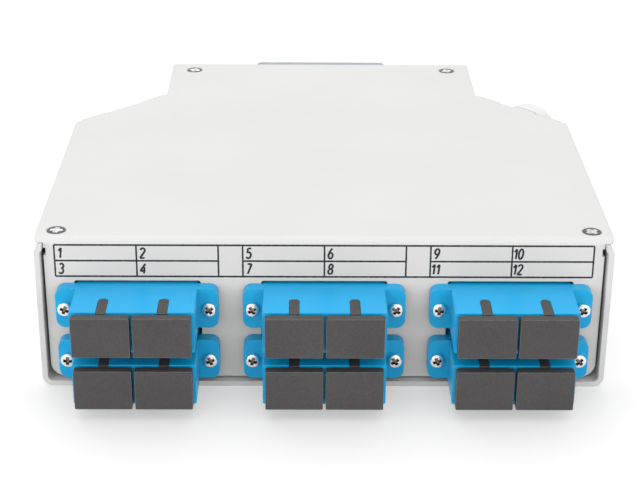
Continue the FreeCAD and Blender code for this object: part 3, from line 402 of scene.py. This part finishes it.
# Each digit is drawn in a cell one unit wide and two high
DIGITS = {
    "0": [arc(0.5, 1.0, 0.5, 1.0, 0, 360, 28)],
    "1": [[(0.0, 1.42), (0.55, 2.0)], [(0.55, 2.0), (0.55, 0.0)]],
    "2": [arc(0.5, 1.5, 0.5, 0.5, 170, -38) + [(0.02, 0.0)], [(0.02, 0.0), (1.1, 0.0)]],
    "3": [arc(0.47, 1.52, 0.46, 0.48, 150, -90) + arc(0.47, 0.52, 0.53, 0.52, 90, -150)],
    "4": [[(0.95, 2.0), (-0.1, 0.55)], [(-0.1, 0.55), (1.12, 0.55)], [(0.82, 1.3), (0.82, 0.0)]],
    "5": [[(0.95, 2.0), (0.18, 2.0)], [(0.18, 2.0), (0.08, 1.12)],
          [(0.08, 1.12)] + arc(0.47, 0.62, 0.53, 0.62, 110, -150)],
    "6": [arc(0.5, 0.58, 0.5, 0.58, 0, 360, 24), [(0.02, 0.7), (0.2, 1.35), (0.5, 1.8), (0.78, 2.0)]],
    "7": [[(0.0, 2.0), (1.0, 2.0)], [(1.0, 2.0), (0.3, 0.0)]],
    "8": [arc(0.5, 1.52, 0.42, 0.48, 0, 360, 24), arc(0.5, 0.52, 0.5, 0.52, 0, 360, 24)],
    "9": [arc(0.5, 1.42, 0.5, 0.58, 0, 360, 24), [(0.98, 1.3), (0.8, 0.65), (0.5, 0.2), (0.22, 0.0)]],
}
DIGIT_HEIGHT, DIGIT_WIDTH, DIGIT_SLANT = 2.3 * MM, 0.9 * MM, 0.11
DIGIT_STEP, NARROW_STEP = 1.36 * MM, 1.0 * MM
DIGIT_LEFT, DIGIT_BOTTOM, PAIR_SHIFT = 0.75 * MM, 0.66 * MM, 0.5 * MM


def write_number(text, left, bottom):
    # Numbers of two digits start nearer to the line on their left
    strokes = []
    left -= PAIR_SHIFT * (len(text) - 1)
    for digit in text:
        for stroke in DIGITS[digit]:
            strokes.append([(left + x * DIGIT_WIDTH + DIGIT_SLANT * y / 2 * DIGIT_HEIGHT,
                             bottom + y / 2 * DIGIT_HEIGHT) for x, y in stroke])
        left += NARROW_STEP if digit == "1" else DIGIT_STEP
    return strokes


print(len(DIGITS), "digits drawn")

# %% Strokes of the table and the numbers
lines = [[(-TABLE_END, z), (TABLE_END, z)] for z in (TABLE_TOP, TABLE_BOTTOM)]
uprights = []
numbers = []
for c, middle in enumerate(columns):
    left, right = middle - GROUP_HALF, middle + GROUP_HALF
    lines.append([(left, TABLE_MIDDLE), (right, TABLE_MIDDLE)])
    uprights += [[(x, TABLE_BOTTOM), (x, TABLE_TOP)] for x in (left, middle, right)]
    for row, low in enumerate((TABLE_MIDDLE, TABLE_BOTTOM)):
        for port in (0, 1):
            number = str(4 * c + 2 * row + port + 1)
            numbers += write_number(number, left + port * GROUP_HALF + DIGIT_LEFT, low + DIGIT_BOTTOM)
print(len(lines) + len(uprights), "lines and", len(numbers), "number strokes")

# %% [markdown]
# ## Geometry Nodes
# The print, the screws and the spring each come from a tree of Geometry Nodes. A screw could be modelled by
# hand and copied, but a tree with named inputs makes every size of it from a few numbers. These helpers are
# for all the trees: one starts a tree, one reads a point's place, one moves points to a new place, and one
# ends the tree as real mesh with its finish on.


# %% Helpers for the trees
def new_tree(name, numbers, others):
    tree = bpy.data.node_groups.new(name, "GeometryNodeTree")
    for way in ("INPUT", "OUTPUT"):
        tree.interface.new_socket("Geometry", in_out=way, socket_type="NodeSocketGeometry")
    for label, kind in {**dict.fromkeys(numbers, "NodeSocketFloat"), **others}.items():
        tree.interface.new_socket(label, in_out="INPUT", socket_type=kind)
    return tree, tree.nodes.new("NodeGroupInput").outputs, tree.nodes.new("NodeGroupOutput")


def point_place(tree):
    place = tree.nodes.new("GeometryNodeInputPosition")
    return add(tree, "ShaderNodeSeparateXYZ", {0: place.outputs[0]}).outputs


def move_points(tree, geometry, x, y, z, more=None):
    place = add(tree, "ShaderNodeCombineXYZ", {"X": x, "Y": y, "Z": z})
    moved = add(tree, "GeometryNodeSetPosition", {
        "Geometry": geometry, "Position": place.outputs[0], **(more or {})})
    return moved.outputs[0]


def end_tree(tree, made, geometry, finish):
    real = add(tree, "GeometryNodeRealizeInstances", {0: geometry})
    coat = add(tree, "GeometryNodeSetMaterial", {"Geometry": real.outputs[0], "Material": finish})
    fill(tree, made, {0: coat.outputs[0]})
    print("tree", tree.name, "has", len(tree.nodes), "nodes")


print("tree helpers ready")

# %% [markdown]
# A tree is a modifier on an object that only carries its starting points or lines. When its inputs are set,
# the result is taken as a plain mesh at the origin, and the carrier goes away with its modifier.


# %% Helpers that turn a tree into a piece
def put_in_scene(name, data):
    obj = bpy.data.objects.new(name, data)
    scene.collection.objects.link(obj)
    return obj


def set_inputs(obj, tree, values):
    modifier = obj.modifiers.new(tree.name, "NODES")
    modifier.node_group = tree
    sockets = {s.name: s.identifier for s in tree.interface.items_tree if s.in_out == "INPUT"}
    for label, value in values.items():
        modifier[sockets[label]] = value


def plain_mesh(obj, name):
    bpy.context.view_layer.update()
    mesh = bpy.data.meshes.new_from_object(obj.evaluated_get(bpy.context.evaluated_depsgraph_get()))
    bpy.data.objects.remove(obj)
    mesh.name = name
    return put_in_scene(name, mesh)


print("helpers for pieces ready")

# %% [markdown]
# The ink tree takes the strokes as curves. Curve to Mesh sweeps a flat rectangle along each of them, and Set
# Position then reads every point as a place on the page: below the fold it only moves to the panel, above it
# the height turns into an angle round the fold. The ink is a closed film a few hundredths of a millimetre
# thick, and its width swells and thins a little from step to step.

# %% Geometry Nodes that lay ink on the folded panel
# Length over which a stroke swells and thins
WAVER = 0.9 * MM


def ink_tree():
    labels = ("Stroke Width", "Film", "Step", "Raggedness", "Panel Face", "Fold Start", "Fold Radius")
    tree, size, made = new_tree("ink_on_folded_panel", labels, {"Ink": "NodeSocketMaterial"})
    calc = partial(math_node, tree)
    steps = add(tree, "GeometryNodeResampleCurve", {"Curve": size["Geometry"], "Length": size["Step"]},
                mode="LENGTH")
    level = add(tree, "GeometryNodeSetCurveNormal", {"Curve": steps.outputs["Curve"]}, mode="Z_UP")
    profile = add(tree, "GeometryNodeCurvePrimitiveQuadrilateral", {
        "Width": size["Stroke Width"], "Height": size["Film"]})
    noise = add(tree, "ShaderNodeTexNoise", {"Scale": 1 / WAVER, "Detail": 2.0})
    waver = calc("MULTIPLY", calc("SUBTRACT", noise.outputs[0], 0.5), size["Raggedness"])
    sweep = add(tree, "GeometryNodeCurveToMesh", {
        "Curve": level.outputs["Curve"], "Profile Curve": profile.outputs["Curve"],
        "Scale": calc("ADD", waver, 1.0), "Fill Caps": True})
    page = point_place(tree)
    lift = calc("ADD", page["Z"], size["Fold Radius"])
    above = calc("MAXIMUM", calc("SUBTRACT", page["Y"], size["Fold Start"]), 0.0)
    angle = calc("DIVIDE", above, size["Fold Radius"])
    depth = calc("SUBTRACT", size["Fold Radius"], calc("MULTIPLY", lift, calc("COSINE", angle)))
    depth = calc("ADD", depth, size["Panel Face"])
    rise = calc("MULTIPLY", lift, calc("SINE", angle))
    rise = calc("ADD", calc("MINIMUM", page["Y"], size["Fold Start"]), rise)
    wrapped = move_points(tree, sweep.outputs["Mesh"], page["X"], depth, rise)
    end_tree(tree, made, wrapped, size["Ink"])
    return tree


INK_TREE = ink_tree()

# %% [markdown]
# Printing ink sits in the hollows of the powder coat, so its edge looks slightly broken up close and its
# black is not quite even. One colour would look like tape, so the finish gets a fine mottle and the matt
# surface of screen ink.


# %% Ink of the table
def panel_ink():
    material, tree, shader = start_finish("panel_ink")
    mottle = spread(tree, grain(tree, scale=4200), 0.0, 1.0)
    fill(tree, shader, {
        "Base Color": tint(tree, mottle, srgb(26, 26, 28), srgb(44, 44, 47)),
        "Roughness": spread(tree, grain(tree, scale=1500), 0.5, 0.66)})
    return material


PANEL_INK = panel_ink()
print("made", PANEL_INK.name)

# %% The strokes turned into meshes
INK_FILM, INK_STEP, INK_RAGGEDNESS = 0.03 * MM, 0.12 * MM, 0.5
SAME_POINT = 1e-9


def print_strokes(name, strokes, width):
    curve = bpy.data.curves.new(name + "_drawing", "CURVE")
    curve.dimensions = "3D"
    for stroke in strokes:
        closed = len(stroke) > 3 and math.dist(stroke[0], stroke[-1]) < SAME_POINT
        points = stroke[:-1] if closed else stroke
        spline = curve.splines.new("POLY")
        spline.points.add(len(points) - 1)
        for point, (x, z) in zip(spline.points, points):
            point.co = (x, z, 0.0, 1.0)
        spline.use_cyclic_u = closed
    drawing = put_in_scene(name + "_drawing", curve)
    set_inputs(drawing, INK_TREE, {
        "Stroke Width": width, "Film": INK_FILM, "Step": INK_STEP, "Raggedness": INK_RAGGEDNESS,
        "Panel Face": PANEL_FACE, "Fold Start": FOLD_START, "Fold Radius": FOLD_RADIUS, "Ink": PANEL_INK})
    piece = plain_mesh(drawing, name)
    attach(piece, "box")
    print(name, len(piece.data.polygons), "faces", [round(v, 4) for v in piece.bound_box[0]])


print_strokes("printed_table_lines", lines, width=0.4 * MM)
print_strokes("printed_table_uprights", uprights, width=0.36 * MM)
print_strokes("printed_port_numbers", numbers, width=0.43 * MM)

# %% [markdown]
# ## Screws
# Twelve pan head screws hold the adapters, four countersunk ones the cover, and two each the rail clip and
# the cassette. They differ only in sizes and plating, so one tree makes them all. It turns a screw from two
# flat grids, one for the head and one for the thread: across a grid runs the angle, along it the profile,
# which is how a lathe works. A rule gives the radius and the height for each angle and each share of the
# profile.

# %% Geometry Nodes that turn a head
# Points round a screw and along its head, and where underside and wall end on the way to the middle
POINTS_ROUND, HEAD_ROWS = 33, 21
UNDERSIDE_END, WALL_END = 0.15, 0.35


def turned(tree, rows, rule):
    grid = add(tree, "GeometryNodeMeshGrid", {
        "Size X": 1.0, "Size Y": 1.0, "Vertices X": POINTS_ROUND, "Vertices Y": rows})
    calc = partial(math_node, tree)
    flat = point_place(tree)
    angle = calc("MULTIPLY", flat["X"], 2 * math.pi)
    radius, height = rule(calc, angle, calc("ADD", flat["Y"], 0.5))
    x = calc("MULTIPLY", radius, calc("COSINE", angle))
    y = calc("MULTIPLY", radius, calc("SINE", angle))
    return move_points(tree, grid.outputs["Mesh"], x, y, height)


def head_rule(size):
    # Out along the underside or the cone, up the wall, and over the dome to the middle
    def rule(calc, angle, share):
        def stretch(start, end):
            part = calc("DIVIDE", calc("SUBTRACT", share, start), end - start)
            return calc("MINIMUM", calc("MAXIMUM", part, 0.0), 1.0)
        out, wall = stretch(0.0, UNDERSIDE_END), stretch(UNDERSIDE_END, WALL_END)
        dome = calc("MULTIPLY", stretch(WALL_END, 1.0), math.pi / 2)
        flare = calc("MULTIPLY", calc("SUBTRACT", size["Head Radius"], size["Shank Radius"]), out)
        closing = calc("MAXIMUM", calc("COSINE", dome), 0.0)
        radius = calc("MULTIPLY", calc("ADD", flare, size["Shank Radius"]), closing)
        rise = calc("MULTIPLY", calc("SUBTRACT", size["Head Rise"], size["Head Wall"]), calc("SINE", dome))
        rise = calc("ADD", rise, calc("MULTIPLY", size["Head Wall"], wall))
        sink = calc("MULTIPLY", size["Head Sink"], calc("SUBTRACT", 1.0, out))
        return radius, calc("SUBTRACT", rise, sink)
    return rule


print("head rule ready")

# %% The rule for a thread
# Radius left at the tip of the thread, and the share of its length where it closes
TIP_SHARE, TIP_CLOSED = 0.65, 0.9999


def thread_rule(size):
    # Down the shank, with a groove that runs in over the first turn and a tip that narrows over the last
    def rule(calc, angle, share):
        depth = calc("MULTIPLY", share, size["Shank Length"])
        turns = calc("DIVIDE", depth, size["Thread Pitch"])
        phase = calc("FRACT", calc("SUBTRACT", turns, calc("DIVIDE", angle, 2 * math.pi)))
        groove = calc("ABSOLUTE", calc("SUBTRACT", calc("MULTIPLY", phase, 2.0), 1.0))
        groove = calc("MULTIPLY", groove, calc("MINIMUM", turns, 1.0))
        remaining = calc("DIVIDE", calc("SUBTRACT", size["Shank Length"], depth), size["Thread Pitch"])
        tip = calc("MULTIPLY_ADD", calc("MINIMUM", remaining, 1.0), 1 - TIP_SHARE, TIP_SHARE)
        tip = calc("MULTIPLY", tip, calc("LESS_THAN", share, TIP_CLOSED))
        radius = calc("SUBTRACT", size["Shank Radius"], calc("MULTIPLY", groove, size["Thread Depth"]))
        height = calc("MULTIPLY", calc("ADD", depth, size["Head Sink"]), -1.0)
        return calc("MULTIPLY", radius, tip), height
    return rule


print("thread rule ready")

# %% [markdown]
# The recess for the driver is cut with two bars that get narrower towards their lower end, as the punch that
# forms it does. A bump could only fake it, and the recess has to look deep from any side. Two attributes are
# kept on the mesh, so that the finish can tell the recess from the head and knows how far out a point lies.


# %% Geometry Nodes that make the bars
def keep_value(tree, geometry, name, value):
    store = add(tree, "GeometryNodeStoreNamedAttribute", {"Geometry": geometry, "Name": name, "Value": value},
                data_type="FLOAT", domain="CORNER")
    return store.outputs[0]


def recess_bar(tree, size):
    calc = partial(math_node, tree)
    box = add(tree, "ShaderNodeCombineXYZ", {
        "X": size["Recess Length"], "Y": size["Recess Width"],
        "Z": calc("MULTIPLY", size["Recess Depth"], 2.0)})
    bar = add(tree, "GeometryNodeMeshCube", {"Size": box.outputs[0]})
    corner = point_place(tree)
    share = calc("DIVIDE", corner["Z"], size["Recess Depth"])
    narrow = calc("MULTIPLY_ADD", share, size["Recess Taper"], 1.0)
    x, y = (calc("MULTIPLY", corner[axis], narrow) for axis in "XY")
    shape = move_points(tree, bar.outputs["Mesh"], x, y, calc("ADD", corner["Z"], size["Head Rise"]))
    return keep_value(tree, shape, "recess", 1.0)


print("recess bars ready")

# %% Geometry Nodes that join head and thread and cut the recess
BLANK_WELD, CUT_WELD = 0.004 * MM, 0.002 * MM
SHARP_EDGE = math.radians(38)


def screw_blank(tree, size):
    thread = turned(tree, size["Thread Rows"], thread_rule(size))
    flip = add(tree, "GeometryNodeFlipFaces", {"Mesh": thread})
    both = add(tree, "GeometryNodeJoinGeometry", {0: flip.outputs[0]})
    fill(tree, both, {0: turned(tree, HEAD_ROWS, head_rule(size))})
    weld = add(tree, "GeometryNodeMergeByDistance", {"Geometry": both.outputs[0], "Distance": BLANK_WELD})
    return keep_value(tree, weld.outputs[0], "recess", 0.0)


def cut_screw(tree, size):
    calc = partial(math_node, tree)
    bar = recess_bar(tree, size)
    crossed = add(tree, "GeometryNodeTransform", {"Geometry": bar, "Rotation": (0, 0, math.pi / 2)})
    cut = add(tree, "GeometryNodeMeshBoolean", {"Mesh 1": screw_blank(tree, size), "Mesh 2": bar},
              operation="DIFFERENCE", solver="MANIFOLD")
    fill(tree, cut, {"Mesh 2": crossed.outputs[0]})
    clean = add(tree, "GeometryNodeMergeByDistance", {"Geometry": cut.outputs["Mesh"], "Distance": CUT_WELD})
    spot = point_place(tree)
    reach = calc("SQRT", calc("ADD", *(calc("POWER", spot[axis], 2.0) for axis in "XY")))
    screw = keep_value(tree, clean.outputs[0], "rim", calc("DIVIDE", reach, size["Head Radius"]))
    smooth = add(tree, "GeometryNodeSetShadeSmooth", {"Geometry": screw})
    fold = tree.nodes.new("GeometryNodeInputMeshEdgeAngle")
    is_sharp = calc("GREATER_THAN", fold.outputs["Unsigned Angle"], SHARP_EDGE)
    sharp = add(tree, "GeometryNodeSetShadeSmooth", {
        "Geometry": smooth.outputs[0], "Selection": is_sharp, "Shade Smooth": False}, domain="EDGE")
    return sharp.outputs[0]


print("blank and cut ready")

# %% [markdown]
# One screw is then set on every point that the tree is given. Align Rotation to Vector points it along its
# hole, and a random turn with a fixed seed leaves the recesses at different angles, as a fitter's hand does.

# %% Geometry Nodes that place the screws
# Sockets of a random number, which have the same names as those of a random vector
RANDOM_MAX, RANDOM_RESULT = 3, 1


def screw_turn(tree, size):
    aim = add(tree, "FunctionNodeAlignRotationToVector", {"Vector": size["Axis"]}, axis="Z")
    angle = add(tree, "FunctionNodeRandomValue", {RANDOM_MAX: 2 * math.pi, "Seed": size["Seed"]},
                data_type="FLOAT")
    spin = add(tree, "FunctionNodeAxisAngleToRotation", {
        "Axis": (0, 0, 1), "Angle": angle.outputs[RANDOM_RESULT]})
    turn = add(tree, "FunctionNodeRotateRotation", {
        "Rotation": aim.outputs[0], "Rotate By": spin.outputs[0]}, rotation_space="LOCAL")
    return turn.outputs[0]


def screw_tree():
    labels = ("Head Radius", "Head Rise", "Head Sink", "Head Wall", "Shank Radius", "Shank Length",
              "Thread Pitch", "Thread Depth", "Recess Length", "Recess Width", "Recess Depth", "Recess Taper")
    tree, size, made = new_tree("turned_screw", labels, {
        "Thread Rows": "NodeSocketInt", "Axis": "NodeSocketVector", "Seed": "NodeSocketInt",
        "Metal": "NodeSocketMaterial"})
    each = add(tree, "GeometryNodeInstanceOnPoints", {
        "Points": size["Geometry"], "Instance": cut_screw(tree, size), "Rotation": screw_turn(tree, size)})
    end_tree(tree, made, each.outputs[0], size["Metal"])
    return tree


SCREW_TREE = screw_tree()

# %% [markdown]
# Zinc plating shines on the dome of a pan head. Its rim is painted an even bright tone, a painted highlight,
# and its recess is painted dark, a painted shade. On the sunk cover screws the outer part of the head is
# painted dark, a painted shade and dark reflection, and the recess keeps the bright plating colour. Two
# finishes could be painted apart, but one recipe reads the two attributes and makes both, and fine turning
# marks circle the head.

# %% Plating of the screws
# Softness of the inner edge of the painted rim shading, and closeness and height of the turning marks
PAINTED_RIM_BLUR = 0.1
MARKS_RATE, MARKS_SHARE = 70.0, 0.25


def screw_plating(name, painted_rim_shading, painted_rim_start, recess):
    # The painted rim shading begins at this share of the head's radius
    material, tree, shader = start_finish(name)
    blotch = grain(tree, scale=900, detail=4, roughness=0.6)
    colour = tint(tree, spread(tree, blotch, 0.0, 1.0), srgb(214, 215, 215), srgb(238, 239, 238))
    rim = add(tree, "ShaderNodeAttribute", attribute_name="rim").outputs["Fac"]
    inside = add(tree, "ShaderNodeAttribute", attribute_name="recess").outputs["Fac"]
    # The outer head gets the painted rim shading: a painted highlight on pan heads, painted shade and
    # reflection on sunk ones
    painted_rim_mask = add(tree, "ShaderNodeMapRange", {
        "Value": rim, "From Min": painted_rim_start, "From Max": painted_rim_start + PAINTED_RIM_BLUR},
        interpolation_type="SMOOTHSTEP")
    colour = tint(tree, painted_rim_mask.outputs["Result"], colour, painted_rim_shading)
    marks = math_node(tree, "SINE", math_node(tree, "MULTIPLY", rim, MARKS_RATE))
    marks = math_node(tree, "MULTIPLY_ADD", marks, MARKS_SHARE, grain(tree, scale=5000))
    # The recess gets its own tone: painted shade on pan heads, the bright plating colour on sunk ones
    fill(tree, shader, {
        "Metallic": 1.0,
        "Base Color": tint(tree, inside, colour, recess),
        "Roughness": spread(tree, blotch, 0.16, 0.3),
        "Normal": relief(tree, marks, depth=0.008 * MM, strength=0.3, soft_edge=0.06 * MM)})
    return material


# Pan heads: a bright painted highlight round the rim and a painted shade in the recess
PAN_PLATING = screw_plating(
    "screw_plating_pan", painted_rim_shading=srgb(232, 233, 233), painted_rim_start=0.62, recess=srgb(122, 110, 106))
# Sunk heads: painted dark shade and reflection over the outer head, and a bright recess
SUNK_PLATING = screw_plating(
    "screw_plating_sunk", painted_rim_shading=srgb(96, 97, 98), painted_rim_start=0.45, recess=srgb(236, 237, 237))
print("made", PAN_PLATING.name, "and", SUNK_PLATING.name)

# %% [markdown]
# Every place comes from the measured nodes, because a list of typed places would go wrong with the first
# change of size. A group node holds several solids, so its mesh is parted into islands, and each island gives
# one screw its place. Pan heads stand on the face they press on, sunk heads end just below it.

# %% Places of the screws
ISLAND_WELD = 0.0001 * MM


def islands(node):
    # The boxes of the separate solids that a group node holds
    shape = bmesh.new()
    shape.from_mesh(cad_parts[node].data)
    bmesh.ops.remove_doubles(shape, verts=shape.verts, dist=ISLAND_WELD)
    unseen, boxes = set(shape.verts), []
    while unseen:
        reached = [unseen.pop()]
        for vert in reached:
            for other in {edge.other_vert(vert) for edge in vert.link_edges} & unseen:
                unseen.remove(other)
                reached.append(other)
        corners = list(zip(*(vert.co for vert in reached)))
        boxes.append((Vector([min(c) for c in corners]), Vector([max(c) for c in corners])))
    shape.free()
    return sorted(boxes, key=lambda box: tuple(round(v, 5) for v in box[0]))


print("adapter screws found:", len(islands("adapter_screws")))

# %% Helper that sets a group of screws
# Share of a head's rise that is wall, how much the recess narrows, and rows of points on a thread's turn
WALL_SHARE, RECESS_TAPER = 0.7, 0.35
ROWS_PER_TURN, TURN_SEED = 6, 7


def set_screws(name, node, axis, plating, below=0.0, **sizes):
    # The head's top lies at the end of each measured screw, or a little below it; sizes are in millimetres
    axis = Vector(axis)
    places = []
    for low, high in islands(node):
        middle, half = (low + high) / 2, (high - low) / 2
        reach = abs(half.dot(axis)) - (sizes["head_rise"] + below) * MM
        places.append(tuple(middle + axis * reach))
    points = bpy.data.meshes.new(name + "_points")
    points.from_pydata(places, [], [])
    holder = put_in_scene(name + "_points", points)
    values = {label.replace("_", " ").title(): value * MM for label, value in sizes.items()}
    turns = sizes["shank_length"] / sizes["thread_pitch"]
    values.update({
        "Head Wall": WALL_SHARE * sizes["head_rise"] * MM, "Recess Taper": RECESS_TAPER,
        "Thread Rows": int(turns * ROWS_PER_TURN) + 2, "Axis": axis, "Seed": TURN_SEED, "Metal": plating})
    set_inputs(holder, SCREW_TREE, values)
    piece = plain_mesh(holder, name)
    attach(piece, "box")
    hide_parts(node)
    print(name, len(places), "screws", len(piece.data.polygons), "faces")


print("helper for screws ready")

# %% Screws in their places
# Millimetres that a sunk head lies below its face
SUNK_BELOW = 0.02
set_screws("flange_screws", "adapter_screws", (0, -1, 0), PAN_PLATING,
           head_radius=1.55, head_rise=1.2, head_sink=0.0, shank_radius=0.94, shank_length=6.2,
           thread_pitch=0.4, thread_depth=0.2, recess_length=2.0, recess_width=0.72, recess_depth=0.6)
set_screws("sunk_cover_screws", "cover_screws", (0, 0, 1), SUNK_PLATING, SUNK_BELOW,
           head_radius=1.98, head_rise=0.06, head_sink=0.75, shank_radius=1.25, shank_length=5.2,
           thread_pitch=0.5, thread_depth=0.25, recess_length=2.7, recess_width=0.9, recess_depth=0.6)
set_screws("clip_plate_screws", "clip_screws", (0, 1, 0), PAN_PLATING, SUNK_BELOW,
           head_radius=2.62, head_rise=0.06, head_sink=1.15, shank_radius=1.44, shank_length=6.6,
           thread_pitch=0.5, thread_depth=0.28, recess_length=3.2, recess_width=0.95, recess_depth=1.0)
set_screws("cassette_pan_screws", "cassette_screws", (0, 0, 1), PAN_PLATING,
           head_radius=2.85, head_rise=2.1, head_sink=0.0, shank_radius=1.44, shank_length=4.4,
           thread_pitch=0.5, thread_depth=0.28, recess_length=3.4, recess_width=1.05, recess_depth=1.3)

# %% [markdown]
# ## The spring of the clip
# A small compression spring pushes the sliding latch against the rail. A Screw modifier could wind it, but
# only with one pitch, and on a real spring the first and the last turn lie closed while the free turns share
# the height between them. So a wire is swept along a flat spiral curve that a rule pulls out to its height.

# %% Geometry Nodes that wind the spring
STEPS_PER_TURN, WIRE_SIDES = 24, 12


def spring_tree():
    tree, size, made = new_tree("closed_end_spring", ("Coil Radius", "Wire Radius", "Height", "Turns"), {
        "Middle": "NodeSocketVector", "Metal": "NodeSocketMaterial"})
    calc = partial(math_node, tree)
    coil = add(tree, "GeometryNodeCurveSpiral", {
        "Resolution": STEPS_PER_TURN, "Height": 0.0, "Rotations": size["Turns"],
        "Start Radius": size["Coil Radius"], "End Radius": size["Coil Radius"]})
    wire = calc("MULTIPLY", size["Wire Radius"], 2.0)
    turn = calc("MULTIPLY", tree.nodes.new("GeometryNodeSplineParameter").outputs["Factor"], size["Turns"])
    free_turns = calc("SUBTRACT", size["Turns"], 2.0)
    pitch = calc("DIVIDE", calc("SUBTRACT", size["Height"], calc("MULTIPLY", wire, 3.0)), free_turns)
    first = calc("MINIMUM", turn, 1.0)
    free = calc("MINIMUM", calc("MAXIMUM", calc("SUBTRACT", turn, 1.0), 0.0), free_turns)
    last = calc("MAXIMUM", calc("SUBTRACT", turn, calc("SUBTRACT", size["Turns"], 1.0)), 0.0)
    climb = calc("ADD", calc("MULTIPLY", calc("ADD", first, last), wire), calc("MULTIPLY", free, pitch))
    climb = calc("SUBTRACT", climb, calc("MULTIPLY", calc("SUBTRACT", size["Height"], wire), 0.5))
    flat = point_place(tree)
    path = move_points(tree, coil.outputs["Curve"], climb, flat["X"], flat["Y"], {"Offset": size["Middle"]})
    section = add(tree, "GeometryNodeCurvePrimitiveCircle", {
        "Resolution": WIRE_SIDES, "Radius": size["Wire Radius"]})
    sweep = add(tree, "GeometryNodeCurveToMesh", {
        "Curve": path, "Profile Curve": section.outputs["Curve"], "Fill Caps": True})
    end_tree(tree, made, sweep.outputs["Mesh"], size["Metal"])
    return tree


SPRING_TREE = spring_tree()

# %% [markdown]
# When the latch is pulled, one end of the spring stays at its stop and the other follows the latch. A rigid
# piece can't do both; here the spring is wound at rest in its window.

# %% The spring in its window
spring_low, spring_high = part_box("clip_spring")
WIRE_RADIUS, SPRING_TURNS = 0.25 * MM, 9.0
holder = put_in_scene("spring_points", bpy.data.meshes.new("spring_points"))
set_inputs(holder, SPRING_TREE, {
    "Coil Radius": (spring_high.z - spring_low.z) / 2 - WIRE_RADIUS, "Wire Radius": WIRE_RADIUS,
    "Height": spring_high.x - spring_low.x, "Turns": SPRING_TURNS,
    "Middle": (spring_low + spring_high) / 2, "Metal": SPRING_WIRE})
spring = plain_mesh(holder, "latch_spring")
spring.data.shade_smooth()
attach(spring, "box")
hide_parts("clip_spring")
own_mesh(spring)

# %% [markdown]
# ## Floor, light and camera
# The box stands on a pale floor in a bright tent. Light strong enough to make the floor white would wash out
# the box, so where the floor is seen it glows a little. That makes it white where the light is full, and
# leaves the soft shadow under the box.

# %% Floor
# Sizes in metres, and the strength of the glow
FLOOR_RADIUS, FLOOR_DROP = 3.0, 0.02 * MM
FLOOR_GLOW = 0.38


def seen_ray(tree):
    # 1 for what is seen directly, in a reflection or through the clear lid, 0 for light that only fills
    path = add(tree, "ShaderNodeLightPath")
    seen = math_node(tree, "MAXIMUM", path.outputs["Is Camera Ray"], path.outputs["Is Glossy Ray"])
    return math_node(tree, "MAXIMUM", seen, path.outputs["Is Transmission Ray"])


bpy.ops.mesh.primitive_circle_add(
    vertices=96, radius=FLOOR_RADIUS, fill_type="NGON", location=(0, 0, -FLOOR_DROP))
floor = bpy.context.object
floor.name = "pale_floor"
floor_finish, tree, shader = start_finish("pale_floor")
fill(tree, shader, {
    "Base Color": (0.7, 0.7, 0.7, 1), "Roughness": 0.9, "Emission Color": (1, 1, 1, 1),
    "Emission Strength": math_node(tree, "MULTIPLY", seen_ray(tree), FLOOR_GLOW)})
floor.data.materials.append(floor_finish)
floor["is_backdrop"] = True
print("floor", floor.name)

# %% [markdown]
# Two low soft lamps in front, the left one stronger, light the panel, and a third above and behind the box
# lights its top. Small lamps would draw hard shadows that the picture doesn't have. All are set to a plain
# level, so that colours come out about as they are written.

# %% Lamps and the tent
PANEL_AIM, TOP_AIM = (0, 0, 0.02), (0, 0, 0)
LAMPS = (
    # name, place and aim in metres, side in metres, power in watts
    ("lamp_left", (-0.6, -0.9, 0.25), PANEL_AIM, 0.7, 2.55),
    ("lamp_right", (0.5, -0.9, 0.25), PANEL_AIM, 0.7, 1.65),
    ("lamp_above", (-0.1, 0.4, 0.95), TOP_AIM, 0.8, 2.0),
)
TENT_FILL, TENT_SEEN = 0.8, 1.0

for name, place, aim, side, power in LAMPS:
    lamp = bpy.data.lights.new(name, "AREA")
    lamp.shape = "SQUARE"
    lamp.size = side
    lamp.energy = power
    stand = put_in_scene(name, lamp)
    stand.location = place
    stand.rotation_euler = (Vector(aim) - Vector(place)).to_track_quat("-Z", "Y").to_euler()
world = bpy.data.worlds.new("bright_tent")
world.use_nodes = True
scene.world = world
tent = world.node_tree
level = add(tent, "ShaderNodeMapRange", {"Value": seen_ray(tent), "To Min": TENT_FILL, "To Max": TENT_SEEN})
fill(tent, tent.nodes["Background"], {"Color": (1, 1, 1, 1), "Strength": level.outputs["Result"]})
print(len(LAMPS), "lamps set in", world.name)

# %% [markdown]
# The camera stands in front and a little above, with a long lens. It could be moved by eye, but its place was
# found by matching the corners of the box and the adapters to where the picture shows them.

# %% Camera
LENS_MM, SENSOR_MM = 91.0, 36.0
CAMERA_PLACE = (-0.00414, -0.36889, 0.17688)
CAMERA_TURN, CAMERA_TILT, CAMERA_ROLL = math.radians(-0.58), math.radians(65.46), math.radians(0.41)
camera_data = bpy.data.cameras.new("camera")
camera_data.sensor_width = SENSOR_MM
camera_data.lens = LENS_MM
camera_data.clip_start = 0.01
camera = put_in_scene("camera", camera_data)
turn = (Matrix.Rotation(CAMERA_TURN, 4, "Z") @ Matrix.Rotation(CAMERA_TILT, 4, "X")
        @ Matrix.Rotation(CAMERA_ROLL, 4, "Z"))
camera.matrix_world = Matrix.Translation(CAMERA_PLACE) @ turn
scene.camera = camera
print("camera at", [round(v, 4) for v in camera.location])

# %% [markdown]
# ## Sizes at the end
# The bounds of the finished model are printed next to those of the measured one.

# %% Sizes and finish
visual_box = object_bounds()
for label, box in (("cad", cad_box), ("visual", visual_box)):
    print(label, [[round(v, 5) for v in corner] for corner in box])
